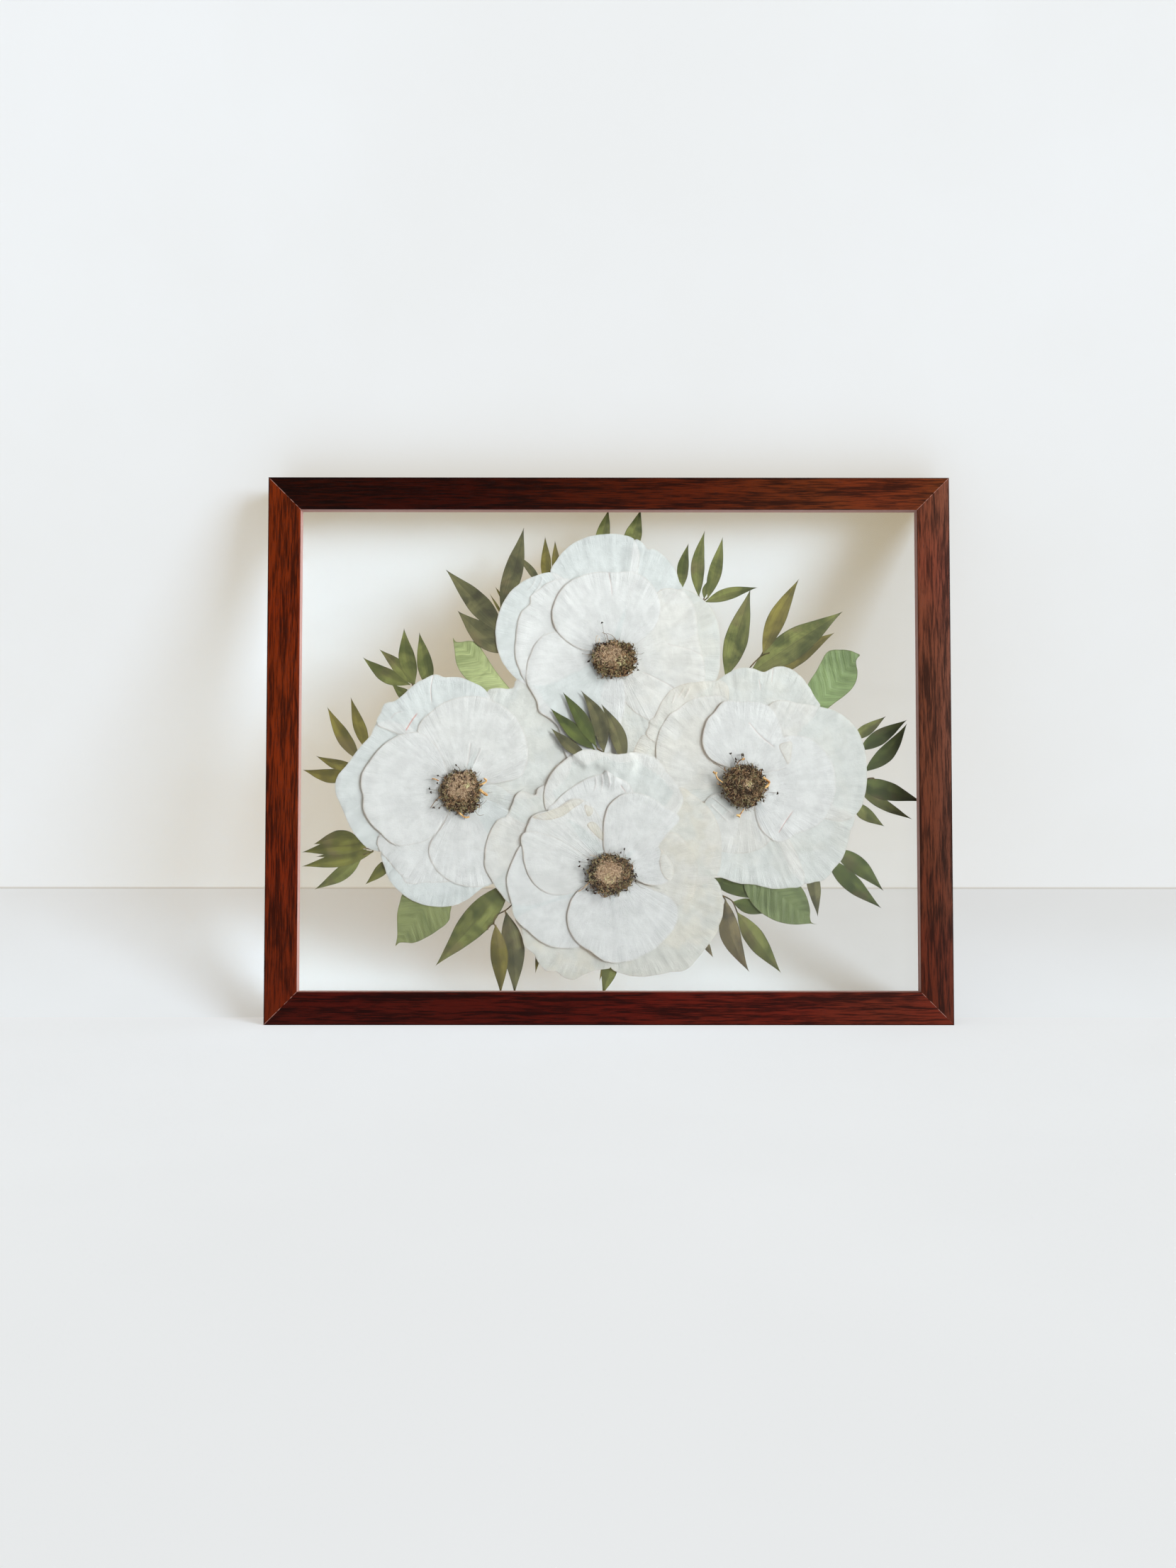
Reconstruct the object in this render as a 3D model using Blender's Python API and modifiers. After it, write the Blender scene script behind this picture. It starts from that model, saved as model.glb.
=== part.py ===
"""Pressed flower frame: white flowers and foliage between two glass panes in a mitred wooden frame.

The frame stands upright on its lower edge. X runs to the viewer's right, the front faces -Y, and Z is up.
The origin is the middle of the underside. Sizes are in millimetres here and enter Blender through MM.
Outlines are read from the middle of the frame: x to the right, z up, seen from the front.
Depths are measured backwards from the front face of the rails.
"""
import math

import bmesh
import bpy
from mathutils import Matrix, Vector

MM = 0.001

# Frame: outer size, face width of a rail, depth, and the lip that holds the front pane.
FRAME_WIDTH = 381.0
FRAME_HEIGHT = 304.8
FRAME_DEPTH = 25.0
RAIL_FACE = 18.2
LIP_THICKNESS = 6.0
RABBET_WIDTH = 6.0
RAIL_EDGE_RADIUS = 0.8
RADIUS_STEPS = 3
MITRE_GAP = 0.3

# Glass: two panes, with the specimens pressed between them.
PANE_WIDTH = 355.6
PANE_HEIGHT = 279.4
PANE_THICKNESS = 2.0
PANE_EDGE_BEVEL = 0.25
FRONT_PANE_DEPTH = 6.3
BACK_PANE_DEPTH = 17.0

# Stack of specimens: petals lie in thin layers, the foliage behind them against the back pane.
FIRST_LAYER_DEPTH = 10.2
LAYER_PITCH = 0.5
PETAL_THICKNESS = 0.2
PAIR_STEP = 0.12
FOLIAGE_FRONT_DEPTH = 15.8
FOLIAGE_BACK_DEPTH = 16.45
CENTRE_TWIG_LAYER = 4
LEAF_THICKNESS = 0.18
STEM_WIDTH = 0.8
STEM_FLATTENING = 0.4
STEM_OVERLAP = 0.6
STEM_STEP = 0.03

# Flower centres: a ragged dome in front, a core through the petals, and the cut receptacle behind.
DOME_FRONT_DEPTH = 8.6
CORE_RADIUS = 3.5
RECEPTACLE_RADIUS = 5.0
RECEPTACLE_THICKNESS = 0.5
DOME_STEPS = 20
CLAW_RADIUS = 5.3
CLAW_HALF_ANGLE = math.radians(17)

SMOOTH_STEPS = 2
LEAF_STATIONS = (0.1, 0.26, 0.46, 0.68, 0.88)
LEAF_BASE_HALF_WIDTH = 0.35
LEAF_BELLY = 0.8
LEAF_POINT = 1.25
TIP = "tip"

# Flower centres: name -> (x, z, dome radius, first petal layer, last petal layer).
FLOWERS = {
    "bottom_flower": (2.0, -69.0, 12.3, 0, 5),
    "right_flower": (77.5, -19.5, 12.3, 3, 8),
    "top_flower": (3.5, 54.0, 12.6, 4, 10),
    "left_flower": (-82.5, -22.5, 12.8, 4, 8),
}

# Petals: name -> (layer, outline). The outline starts and ends beside the flower's centre.
PETALS = {
    "bottom_flower_petal_upper_right_front": (0, [
        (-2, -58), (-2.8, -48), (-2.4, -39), (0, -31.5), (5, -26.5), (11, -24), (18, -24.2), (25, -27),
        (32, -32), (40, -38), (36, -44), (31, -50), (28.5, -54.5), (33, -60), (36.3, -66), (35, -72),
        (28, -76), (16, -73)]),
    "bottom_flower_petal_lower_front": (0, [
        (-8, -74), (-13, -76), (-18.5, -80.5), (-22, -87), (-23.2, -95), (-21.5, -102), (-17, -108.5),
        (-10, -113), (-3, -118), (8, -119), (20, -115), (32, -106), (39, -94), (36, -84), (26, -78.7),
        (15, -74.5)]),
    "bottom_flower_petal_upper_back": (3, [
        (-2, -58), (-14, -44), (-26, -38), (-34.5, -34), (-36.5, -28), (-35.5, -20), (-32, -13),
        (-26, -6.5), (-19, -1.8), (-12, 0.6), (-5, -0.6), (0, -1.5), (6, -2.2), (14, -1), (21, -1.8),
        (27, -4.5), (34, -13), (40, -21.5), (42, -30), (30, -44), (12, -58)]),
    "bottom_flower_petal_upper_middle": (2, [
        (0, -58), (-12, -46), (-24, -38), (-34, -34), (-30.5, -29.5), (-25.5, -24.5), (-18, -19),
        (-10, -15), (-4, -13.3), (-1.3, -11.3), (3, -14.5), (9, -17), (14, -24), (14, -40), (7, -58)]),
    "bottom_flower_petal_left_middle": (2, [
        (-10, -68), (-30, -58), (-48.5, -53.5), (-53, -60), (-55.5, -66), (-57.3, -72), (-56.5, -79),
        (-54.5, -87), (-53, -94), (-46, -101), (-38, -107.5), (-32, -110.3), (-24, -111.3), (-16, -110),
        (-8, -98), (-4, -80)]),
    "right_flower_petal_upper_left_front": (3, [
        (69, -10), (62, -7.5), (57, -4), (54, 0.5), (53, 6), (54, 12), (56.5, 18.5), (60, 21.5),
        (62.5, 25.5), (67.5, 28.5), (74, 27.5), (84, 27.5), (92, 24), (97, 15), (99, 8), (103, 5.5),
        (103.4, -2), (101.5, -8.5), (92, -12), (84, -13)]),
    "right_flower_petal_left_middle": (6, [
        (69, -22), (56, -28), (44, -29), (34, -22), (28, -10), (26.7, 0), (28, 9), (31.5, 16.5),
        (35, 21), (40, 24), (44, 27.5), (50, 30), (58, 31), (66, 30), (72, 20), (74, -6)]),
    "right_flower_petal_upper_back": (8, [
        (72, -8), (62, 16), (58, 34), (62, 40), (68, 44), (75, 46.8), (82, 46.3), (88, 44.5),
        (94, 47.3), (100, 47.3), (107, 43.5), (113, 36.5), (117, 29.5), (119.5, 25), (112, 14),
        (90, -8)]),
    "right_flower_petal_right_front": (4, [
        (82, -30), (85, -43), (91, -49.5), (97, -51.8), (106, -47), (118, -42), (126, -30), (128, -14),
        (122, 0), (110, 8), (96, 6), (86, -12)]),
    "top_flower_petal_upper_front": (4, [
        (13, 60), (22, 65), (27, 71), (29.5, 79), (28, 88), (23, 96), (14, 101.5), (3, 101),
        (-6, 101.5), (-13, 100), (-21, 96.5), (-27, 91), (-31, 83), (-32, 76), (-30, 69), (-25, 63),
        (-18, 58.5), (-9, 56)]),
    "top_flower_petal_lower_left_front": (5, [
        (-6, 60), (-20, 67), (-30, 67.5), (-36, 65.5), (-41, 61), (-44, 55), (-46.3, 47), (-46.3, 39),
        (-43.5, 33), (-40.5, 28), (-39.2, 22), (-34, 18.5), (-29, 14), (-26, 5), (-22, -6), (-10, -8),
        (2, 2), (7.5, 17), (9.5, 27), (8, 40)]),
    "top_flower_petal_right_middle": (8, [
        (8, 44), (7, 34), (9.5, 27), (13, 23), (17, 20), (23, 17), (34, 17), (45, 24), (52, 33),
        (54.5, 42), (53, 54), (50.5, 66), (49.5, 78), (46, 86), (40, 91), (28, 90), (16, 66)]),
    "top_flower_petal_left_middle": (6, [
        (-4, 66), (-10, 84), (-16, 94), (-24, 97.5), (-34, 95.5), (-40, 91), (-44.3, 87.5),
        (-44.5, 83.5), (-49, 79), (-51.5, 73), (-52.5, 64), (-53, 54), (-50.5, 46), (-46, 38),
        (-36, 36), (-22, 42), (-8, 49)]),
    "top_flower_petal_left_back": (7, [
        (-4, 66), (-14, 84), (-26, 98), (-33, 101), (-42, 99), (-50, 95), (-57.3, 88), (-61, 81),
        (-63.8, 71), (-63.8, 62), (-61, 52), (-57, 45.5), (-52, 40.3), (-46, 37), (-34, 38), (-14, 50)]),
    "left_flower_petal_left_front": (4, [
        (-91, -12), (-95, -1), (-101, 6.5), (-108, 10.2), (-116, 9.3), (-123, 6), (-130, 0),
        (-135, -6.5), (-138.5, -12), (-139.8, -19), (-138.2, -26), (-138.3, -33), (-134, -41),
        (-128, -47), (-121, -53), (-110, -53), (-101, -50), (-95, -44), (-90, -34)]),
    "left_flower_petal_upper_front": (5, [
        (-90, -14), (-98, 0), (-106, 7), (-108, 10.5), (-105.5, 17), (-100, 22), (-93, 27),
        (-84, 30), (-74, 30.5), (-63, 27), (-54, 20.5), (-48, 11), (-45.5, 0), (-46.5, -9),
        (-50, -15), (-60, -18), (-72, -19)]),
    "left_flower_petal_lower_front": (5, [
        (-89, -33), (-94, -43), (-99.5, -50), (-101.3, -56), (-99.5, -63), (-95, -69.5), (-88, -74.3),
        (-80, -76.7), (-70, -76.5), (-60, -71), (-52, -61), (-49, -49), (-53, -38), (-62, -30),
        (-72, -27)]),
    "left_flower_petal_left_back": (7, [
        (-91, -6), (-104, 8), (-118, 16), (-130, 16.5), (-134, 9), (-137, 5.5), (-141, 1), (-144, -3),
        (-147.5, -8), (-151, -12), (-153.8, -17), (-154, -24), (-151, -31), (-148, -38),
        (-144.5, -45), (-141, -50), (-137, -54), (-132, -56.5), (-128, -57), (-112, -50), (-94, -34)]),
    "left_flower_petal_upper_back": (6, [
        (-92, -8), (-112, 6), (-126, 12), (-131, 15), (-129, 21), (-126.5, 26.3), (-121, 28),
        (-115, 32.5), (-109, 38), (-103, 41), (-98, 43), (-93, 41.5), (-85, 41.5), (-77, 38.5),
        (-69, 33.5), (-66, 22), (-72, 4), (-80, -10)]),
    "left_flower_petal_right_back": (8, [
        (-77, -11), (-74, 8), (-71, 24), (-68, 34), (-61, 35.2), (-54, 35.5), (-52.5, 39.5),
        (-46, 40), (-37, 30), (-28, 18), (-21, 4), (-20, -8), (-26, -20), (-40, -27), (-56, -28),
        (-70, -25)]),
}

# Pairs of petals that cling together: name -> (layer, front outline, back outline one layer behind).
PETAL_PAIRS = {
    "bottom_flower_petals_left_front": (1, [
        (-8, -64), (-24, -52), (-38, -46.6), (-48.5, -47.2), (-48.3, -56), (-47, -65), (-43, -73.5),
        (-37, -79), (-29, -81.3), (-21, -80.5), (-14, -77), (-8, -74)], [
        (0, -58), (-2, -45), (-8, -33), (-14, -28), (-20, -27), (-28, -31.5), (-35, -34.3),
        (-43, -37), (-45, -41), (-46.3, -46.5), (-34, -50), (-10, -62)]),
    "bottom_flower_petals_left_back": (4, [
        (-10, -66), (-30, -50), (-46, -42), (-53, -39), (-59.5, -38), (-64, -41), (-67, -46.5),
        (-69, -53), (-69.7, -60), (-69.3, -67), (-66.5, -72), (-64, -76.5), (-60, -81.5), (-56, -86),
        (-46, -88), (-30, -84), (-10, -74)], [
        (-10, -66), (-26, -60), (-44, -52), (-55, -44), (-58, -38), (-56.3, -35), (-54, -30), (-53, -26.5),
        (-51, -24), (-47, -23.2), (-43.5, -25), (-41, -25), (-40.5, -22.5), (-37.5, -20.3),
        (-34, -19.5), (-30, -26), (-12, -54)]),
    "bottom_flower_petals_bottom_back": (5, [
        (-8, -78), (-30, -84), (-46, -90), (-52.5, -94.5), (-49.5, -100), (-48.3, -106),
        (-47, -110.5), (-42, -114.5), (-39.5, -119), (-35, -123.8), (-30, -124), (-26, -127),
        (-20, -128.7), (-14, -126), (-9, -124), (-3, -123), (1, -121.8), (4, -110), (2, -82)], [
        (3, -80), (0, -100), (1, -121.5), (8, -125.5), (16, -127), (26, -126.3), (36, -124.3),
        (43, -123.5), (49, -118), (55, -110.5), (60.5, -103), (62, -98.5), (64.3, -92), (64.3, -84),
        (62, -75), (56, -70), (40, -70), (16, -74)]),
    "bottom_flower_petals_right_back": (4, [
        (12, -63), (22, -52), (32, -46.5), (38.5, -47), (44, -52), (48, -59), (50, -66), (49.5, -74),
        (46, -84), (30, -86), (13, -74)], [
        (11, -60), (22, -44), (32, -30), (40, -21), (47, -24.5), (54, -30), (59, -36), (62, -43),
        (63.5, -52), (63.3, -61), (61.5, -69), (52, -76), (34, -78), (14, -72)]),
    "right_flower_petals_lower_back": (5, [
        (70, -27), (62, -24), (55.5, -27.5), (52, -36), (54, -48), (62, -56), (74, -58), (86, -55),
        (91, -49), (85, -40), (82, -32)], [
        (84, -30), (100, -48), (108, -64), (109.5, -75.5), (102, -77.3), (92, -77.8), (82, -75.5),
        (74, -75), (66, -72.5), (58, -69), (50, -60), (54, -48), (70, -30)]),
    "right_flower_petals_outer_left": (7, [
        (72, -8), (66, 12), (68, 30), (66, 38.5), (58, 39.3), (50, 38.7), (43, 37.8), (36, 34.7),
        (31.5, 30), (28.5, 25), (25.8, 19.3), (22.7, 16), (22.6, 13.5), (21, 9.3), (27, 4), (44, -6),
        (66, -16)], [
        (68, -20), (40, -22), (24, -12), (13.5, -3), (14.5, 0.5), (16.5, 5), (20, 8.8), (27, 5),
        (40, 4), (66, -10)]),
    "right_flower_petals_outer_right": (6, [
        (86, -12), (84, 8), (88, 22), (95, 28.3), (106, 27), (118, 25), (127, 22.8), (135, 18),
        (140.5, 11.5), (143.7, 4), (145.5, -6), (145.7, -16), (144.3, -26), (140, -35.5),
        (130, -40), (108, -32), (90, -22)], [
        (90, -22), (112, -24), (130, -32), (138.5, -37), (136.5, -45), (134.5, -53), (131.5, -61),
        (126.5, -67), (122, -72.5), (116, -74), (108, -74.5), (98, -60), (86, -32)]),
    "top_flower_petals_upper_back": (10, [
        (4, 66), (12, 84), (17, 104), (15, 119), (9, 122), (2, 122.8), (-5, 122.5), (-12, 121),
        (-20, 117.5), (-26, 112.5), (-30, 107), (-33, 101), (-26, 90), (-6, 66)], [
        (6, 66), (11, 90), (12, 110), (15, 119.5), (19, 118), (22.5, 114), (25, 114.5), (31, 110.5),
        (37, 103.5), (40, 96), (42, 91), (38, 80), (18, 62)]),
    "top_flower_petals_right_back": (9, [
        (16, 64), (32, 84), (41, 91.5), (47, 90), (53, 86), (58, 81), (61.5, 74), (63, 64), (63, 52),
        (62, 43), (58, 36), (50, 30), (38, 24), (24, 22), (13, 38)], [
        (-1, 44), (-6, 25), (-8, 10), (-4, -2), (6, -8), (18, -4), (26, 4), (28, 14), (27, 25),
        (13, 43)]),
    "left_flower_petals_lower_back": (6, [
        (-93, -28), (-112, -36), (-126, -44), (-130, -50), (-129.5, -55.5), (-125, -61),
        (-120, -67), (-116, -71.5), (-114, -74.7), (-104, -74.6), (-94, -74.4), (-84, -72),
        (-78, -56), (-81, -36)], [
        (-90, -34), (-108, -44), (-122, -50), (-128, -57), (-126, -66), (-122, -75), (-112, -83.5),
        (-104, -86.8), (-95, -88), (-86, -87), (-78, -83), (-71, -77.5), (-64, -74), (-62, -62),
        (-70, -42), (-77, -32)]),
}

# Twigs: name -> (depth, leaves, stems). A leaf is (base, tip, width, sideways bend); a bend to the
# left of the way from base to tip is positive. The first stem reaches back under the flower.
TWIGS = {
    "twig_centre": (None, [
        ((-7, 2), (-26, 33), 8.5, -1.0), ((-2.8, -1.3), (-15.7, 33.8), 10.0, -4.0),
        ((9, -8), (-4.3, 26.3), 9.5, -2.5), ((-8, 0.5), (-33, 23.8), 8.0, 0.5),
        ((-12, -4), (-32.5, 12.5), 6.5, 1.0)], [
        [(-7, 3), (-6.3, 0.8), (-2.8, -1.6), (2, -10)], [(-8, 0.5), (-12, -4), (2, -10)],
        [(9, -7.5), (2, -10), (2, -18)]]),
    "twig_top_left": (FOLIAGE_FRONT_DEPTH, [
        ((-61, 79), (-48, 126.5), 11.0, -1.0), ((-38, 93), (-53, 111.5), 4.2, -1.0),
        ((-35, 92), (-36, 121.5), 6.0, 0.0), ((-29.5, 97), (-30.4, 119), 4.6, 0.0),
        ((-58, 83), (-64.2, 92.6), 1.8, 0.0), ((-58.5, 74), (-67.4, 88.8), 1.6, 0.0)], [
        [(-61, 80), (-58.5, 74), (-46, 72), (-20, 62)], [(-38, 93), (-35, 92), (-33, 80), (-20, 62)],
        [(-29.5, 97), (-33, 80)], [(-58, 83), (-58.5, 74)]]),
    "twig_upper_left": (FOLIAGE_FRONT_DEPTH, [
        ((-59, 66), (-92.3, 102.5), 13.0, -0.5), ((-54, 55), (-85.5, 79), 14.5, 2.0)], [
        [(-59, 66), (-52, 60), (-34, 54)], [(-54, 55), (-52, 60)]]),
    "twig_left_upper": (FOLIAGE_FRONT_DEPTH, [
        ((-109.5, 37), (-115.6, 69), 9.5, 1.5), ((-101, 34), (-107, 66.7), 8.8, 0.0),
        ((-110, 37), (-129.5, 57), 7.5, -1.0), ((-112, 37), (-138.8, 52.5), 8.5, 2.2),
        ((-107, 27), (-122.5, 37.5), 7.0, 1.0)], [
        [(-111, 38), (-107, 27), (-100, 10)], [(-101, 34), (-107, 27)]]),
    "twig_left": (FOLIAGE_FRONT_DEPTH, [
        ((-140, -6), (-158.7, 24.5), 8.0, 1.0), ((-135, -1), (-145.5, 30), 7.0, 0.5),
        ((-141, -10), (-164.7, -3.3), 6.0, 1.5), ((-143, -14), (-172.2, -11), 8.0, 2.0)], [
        [(-135, -1), (-138, -8), (-128, -14), (-112, -16)], [(-140, -6), (-138, -8)],
        [(-141, -10), (-138, -8)], [(-143, -14), (-138, -8)]]),
    "twig_lower_left": (FOLIAGE_FRONT_DEPTH, [
        ((-138, -51), (-165.7, -53), 9.0, -2.5), ((-134, -53.5), (-172.2, -57.5), 9.5, -1.0),
        ((-132, -57), (-172.2, -65.4), 8.5, 0.5), ((-136, -56), (-164.3, -60), 5.0, 0.0),
        ((-138, -59), (-165, -78.3), 8.0, 1.5), ((-121, -60), (-136.5, -75.5), 6.5, 0.5)], [
        [(-138, -55), (-126, -56), (-112, -50)], [(-138, -59), (-132, -56), (-138, -51)],
        [(-121, -60), (-119, -53)]]),
    "twig_bottom_left": (FOLIAGE_FRONT_DEPTH, [
        ((-55, -74), (-97, -121), 16.5, 0.0), ((-63.5, -98), (-60.5, -137), 10.0, 1.0),
        ((-57.5, -91), (-52.7, -137), 12.5, 2.0)], [
        [(-64.5, -97.5), (-63.2, -93), (-58, -90), (-54.5, -87), (-46, -78), (-30, -76)],
        [(-68, -101), (-67, -98.7), (-64.5, -97.5), (-63.5, -99)], [(-57.7, -92), (-58, -90)],
        [(-56, -75), (-46, -78)]]),
    "twig_bottom": (FOLIAGE_FRONT_DEPTH, [
        ((-38.5, -109), (-41, -125), 2.8, 0.0), ((4, -112), (-3.5, -137), 8.5, 0.0),
        ((-1, -114), (-5.2, -129.5), 2.2, 0.0)], [
        [(-38.5, -109), (-22, -98), (-4, -92)], [(4, -112), (2, -104), (-4, -92)], [(-1, -114), (2, -104)]]),
    "twig_lower_right": (FOLIAGE_BACK_DEPTH, [
        ((65.5, -84), (78.7, -124.3), 11.5, -3.5), ((72, -91), (96.5, -124.8), 11.0, -0.5),
        ((56, -72), (90, -84), 8.5, 0.0), ((69.4, -85.2), (92, -91), 8.5, 0.0),
        ((51, -103), (58.5, -116.2), 4.0, 0.0)], [
        [(72, -91), (71.5, -89.5), (69.5, -85), (66, -82.6), (58, -79), (40, -72)],
        [(65.5, -84), (64, -81.7)], [(56, -72), (50, -76)], [(51, -103), (50, -90), (48, -75)]]),
    "leaf_slender_lower_right": (FOLIAGE_FRONT_DEPTH, [
        ((112.5, -62), (117.3, -93.4), 7.5, 0.5)], [[(112.7, -63), (110, -52)]]),
    "twig_right_lower": (FOLIAGE_FRONT_DEPTH, [
        ((125, -55), (154.2, -79), 10.0, 2.0), ((122, -60), (153, -88.7), 10.0, -1.0)], [
        [(125, -55), (120, -54), (104, -44)], [(122, -60), (120, -54)]]),
    "twig_right": (FOLIAGE_FRONT_DEPTH, [
        ((138, -18), (176, -28.8), 11.0, 0.5), ((139, -20), (170.7, -38.8), 6.5, -1.0),
        ((136, -29), (155, -42.8), 7.5, -0.5)], [
        [(138, -18.5), (132, -20), (112, -18)], [(136, -29), (132, -20)],
        [(138, -18), (144, -16.3), (149, -15.6), (150, -17)]]),
    "twig_right_upper": (FOLIAGE_FRONT_DEPTH, [
        ((136, 6), (156.3, 19.3), 6.5, -0.5), ((144, -12), (168.2, 15.2), 9.0, -2.5),
        ((141, 0), (168.2, 17.2), 8.5, 0.0)], [
        [(136, 6), (132, -2), (114, -6)], [(141, 0), (132, -2)], [(144, -12), (132, -2)]]),
    "twig_upper_right": (FOLIAGE_FRONT_DEPTH, [
        ((66, 41), (80.3, 91.5), 13.0, 0.0), ((87, 54.5), (107.8, 97.3), 10.2, 1.5),
        ((80, 44), (132.5, 78.7), 17.0, 0.0), ((84, 42), (127.7, 66.6), 13.0, 0.0)], [
        [(91, 55.2), (86.5, 53.5), (80, 47), (74, 38), (78, 20)], [(86.5, 53.5), (87, 55.5)],
        [(66, 41), (74, 38)], [(81, 44.5), (78, 44)]]),
    "twig_top_right": (FOLIAGE_BACK_DEPTH, [
        ((41.5, 91.5), (45.3, 117.5), 6.5, 1.2), ((51, 87), (54.5, 124.7), 7.8, 2.2),
        ((56, 86), (64.7, 121.2), 7.6, -0.5), ((54, 86), (57.3, 97), 3.4, 0.8),
        ((54.5, 84), (84.3, 92.3), 7.0, 1.0)], [
        [(51, 87.5), (51.5, 83.5), (44, 74), (30, 60)], [(41.5, 91.5), (45, 76)],
        [(54.5, 84.2), (51.5, 83)], [(54, 86), (52, 83)], [(56, 86.5), (52, 83)]]),
    "twig_top": (FOLIAGE_FRONT_DEPTH, [
        ((-6, 110), (0, 136.8), 8.0, 0.0), ((8.5, 107), (18.3, 137), 10.0, -0.5)], [
        [(-6, 110.5), (2, 102), (4, 84)], [(8.5, 107.5), (2, 102)]]),
}

# Broad leaves: name -> (depth, outline); TIP marks a sharp point.
BROAD_LEAVES = {
    "leaf_broad_upper_left": (FOLIAGE_BACK_DEPTH, [
        (-88, 63.7, TIP), (-86, 61.3), (-80, 61.8), (-75, 61), (-71, 56), (-66.5, 49), (-62, 42.5),
        (-57.5, 37), (-52.5, 31, TIP), (-58, 30), (-66, 32), (-75, 36), (-82, 42), (-86, 49),
        (-87, 56)]),
    "leaf_broad_lower_left": (FOLIAGE_FRONT_DEPTH, [
        (-119.5, -110, TIP), (-117, -108), (-110, -108.2), (-103, -105.5), (-95, -100.5),
        (-89.5, -95.5), (-88.8, -91), (-88, -85), (-92, -77), (-102, -70, TIP), (-110, -73),
        (-114.5, -78), (-117, -85), (-118.6, -93), (-118.4, -104)]),
    "leaf_broad_lower_right": (FOLIAGE_FRONT_DEPTH, [
        (117, -97.8, TIP), (113.5, -96.3), (113, -90), (111, -82), (107.5, -76), (101, -69), (90, -65.5),
        (78, -66, TIP), (76, -75), (78, -82), (82.5, -88.5), (89, -93.5), (97, -96.8),
        (106, -97.8), (112.5, -97.3)]),
    "leaf_broad_right": (FOLIAGE_FRONT_DEPTH, [
        (142, 54, TIP), (137, 56.3), (130, 57), (124, 56), (120.5, 51), (117, 44.5), (112.5, 37.5),
        (110.5, 31), (113, 24), (119, 19, TIP), (123.5, 23.5), (128.5, 27.5), (135, 32.5), (139.5, 38.5),
        (140.5, 45), (139.8, 50.5)]),
}

RAIL_COLOURS = {
    "rail_bottom": (0.10, 0.022, 0.012, 1.0),
    "rail_top": (0.06, 0.016, 0.008, 1.0),
    "rail_left": (0.15, 0.034, 0.012, 1.0),
    "rail_right": (0.09, 0.024, 0.012, 1.0),
}
PETAL_COLOUR = (0.84, 0.85, 0.82, 1.0)
CENTRE_COLOUR = (0.09, 0.05, 0.025, 1.0)
LEAF_COLOUR = (0.07, 0.085, 0.022, 1.0)
BROAD_LEAF_COLOUR = (0.16, 0.24, 0.07, 1.0)
GLASS_COLOUR = (0.96, 0.98, 0.97, 1.0)


def clear_scene():
    """Remove whatever the scene holds, so the script can run more than once."""
    for old in list(bpy.data.objects):
        bpy.data.objects.remove(old, do_unlink=True)


def new_collection(name):
    collection = bpy.data.collections.new(name)
    bpy.context.scene.collection.children.link(collection)
    return collection


def principled(name, colour, roughness, metallic=0.0, transmission=0.0):
    material = bpy.data.materials.new(name)
    material.use_nodes = True
    shader = material.node_tree.nodes["Principled BSDF"]
    shader.inputs["Base Color"].default_value = colour
    shader.inputs["Roughness"].default_value = roughness
    shader.inputs["Metallic"].default_value = metallic
    shader.inputs["Transmission Weight"].default_value = transmission
    material.diffuse_color = colour
    return material


def add_object(name, data, collection, material):
    """Link a new object that carries its own material."""
    thing = bpy.data.objects.new(name, data)
    data.materials.append(material)
    collection.objects.link(thing)
    return thing


def stand_up(thing, depth):
    """Turn a flat shape drawn in XY upright, facing the front, at a depth behind the rails' face."""
    thing.rotation_euler = (math.radians(90), 0.0, 0.0)
    thing.location = (0.0, (depth - FRAME_DEPTH / 2) * MM, FRAME_HEIGHT / 2 * MM)


def flat_curve(name, thickness):
    curve = bpy.data.curves.new(name, "CURVE")
    curve.dimensions = "2D"
    curve.fill_mode = "BOTH"
    curve.extrude = thickness / 2 * MM
    curve.resolution_u = SMOOTH_STEPS
    curve.render_resolution_u = 0
    return curve


def add_smooth_outline(curve, points):
    """Add a closed smooth spline; points marked TIP stay sharp."""
    spline = curve.splines.new("BEZIER")
    spline.bezier_points.add(len(points) - 1)
    spline.use_cyclic_u = True
    for knot, point in zip(spline.bezier_points, points):
        handle = "VECTOR" if len(point) == 3 else "AUTO"
        knot.co = (point[0] * MM, point[1] * MM, 0.0)
        knot.handle_left_type = handle
        knot.handle_right_type = handle


def add_straight_outline(curve, points):
    spline = curve.splines.new("POLY")
    spline.points.add(len(points) - 1)
    spline.use_cyclic_u = True
    for knot, point in zip(spline.points, points):
        knot.co = (point[0] * MM, point[1] * MM, 0.0, 1.0)


def solid_from_curve(curve_object):
    """Replace a curve object by a closed mesh object in the same place."""
    depsgraph = bpy.context.evaluated_depsgraph_get()
    mesh = bpy.data.meshes.new_from_object(curve_object.evaluated_get(depsgraph))
    solid = bpy.data.objects.new(curve_object.name, mesh)
    solid.matrix_world = curve_object.matrix_world.copy()
    for collection in curve_object.users_collection:
        collection.objects.link(solid)
    name = curve_object.name
    bpy.data.objects.remove(curve_object, do_unlink=True)
    solid.name = name
    weld(mesh)
    return solid


def weld(mesh):
    shape = bmesh.new()
    shape.from_mesh(mesh)
    bmesh.ops.remove_doubles(shape, verts=shape.verts, dist=0.000001)
    shape.to_mesh(mesh)
    shape.free()


def join_by_union(body, other, cutters):
    """Grow one body together with another that stays hidden among the cutters."""
    for collection in other.users_collection:
        collection.objects.unlink(other)
    cutters.objects.link(other)
    other.hide_render = True
    other.display_type = "WIRE"
    union = body.modifiers.new("Join " + other.name, "BOOLEAN")
    union.operation = "UNION"
    union.solver = "EXACT"
    union.object = other


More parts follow.
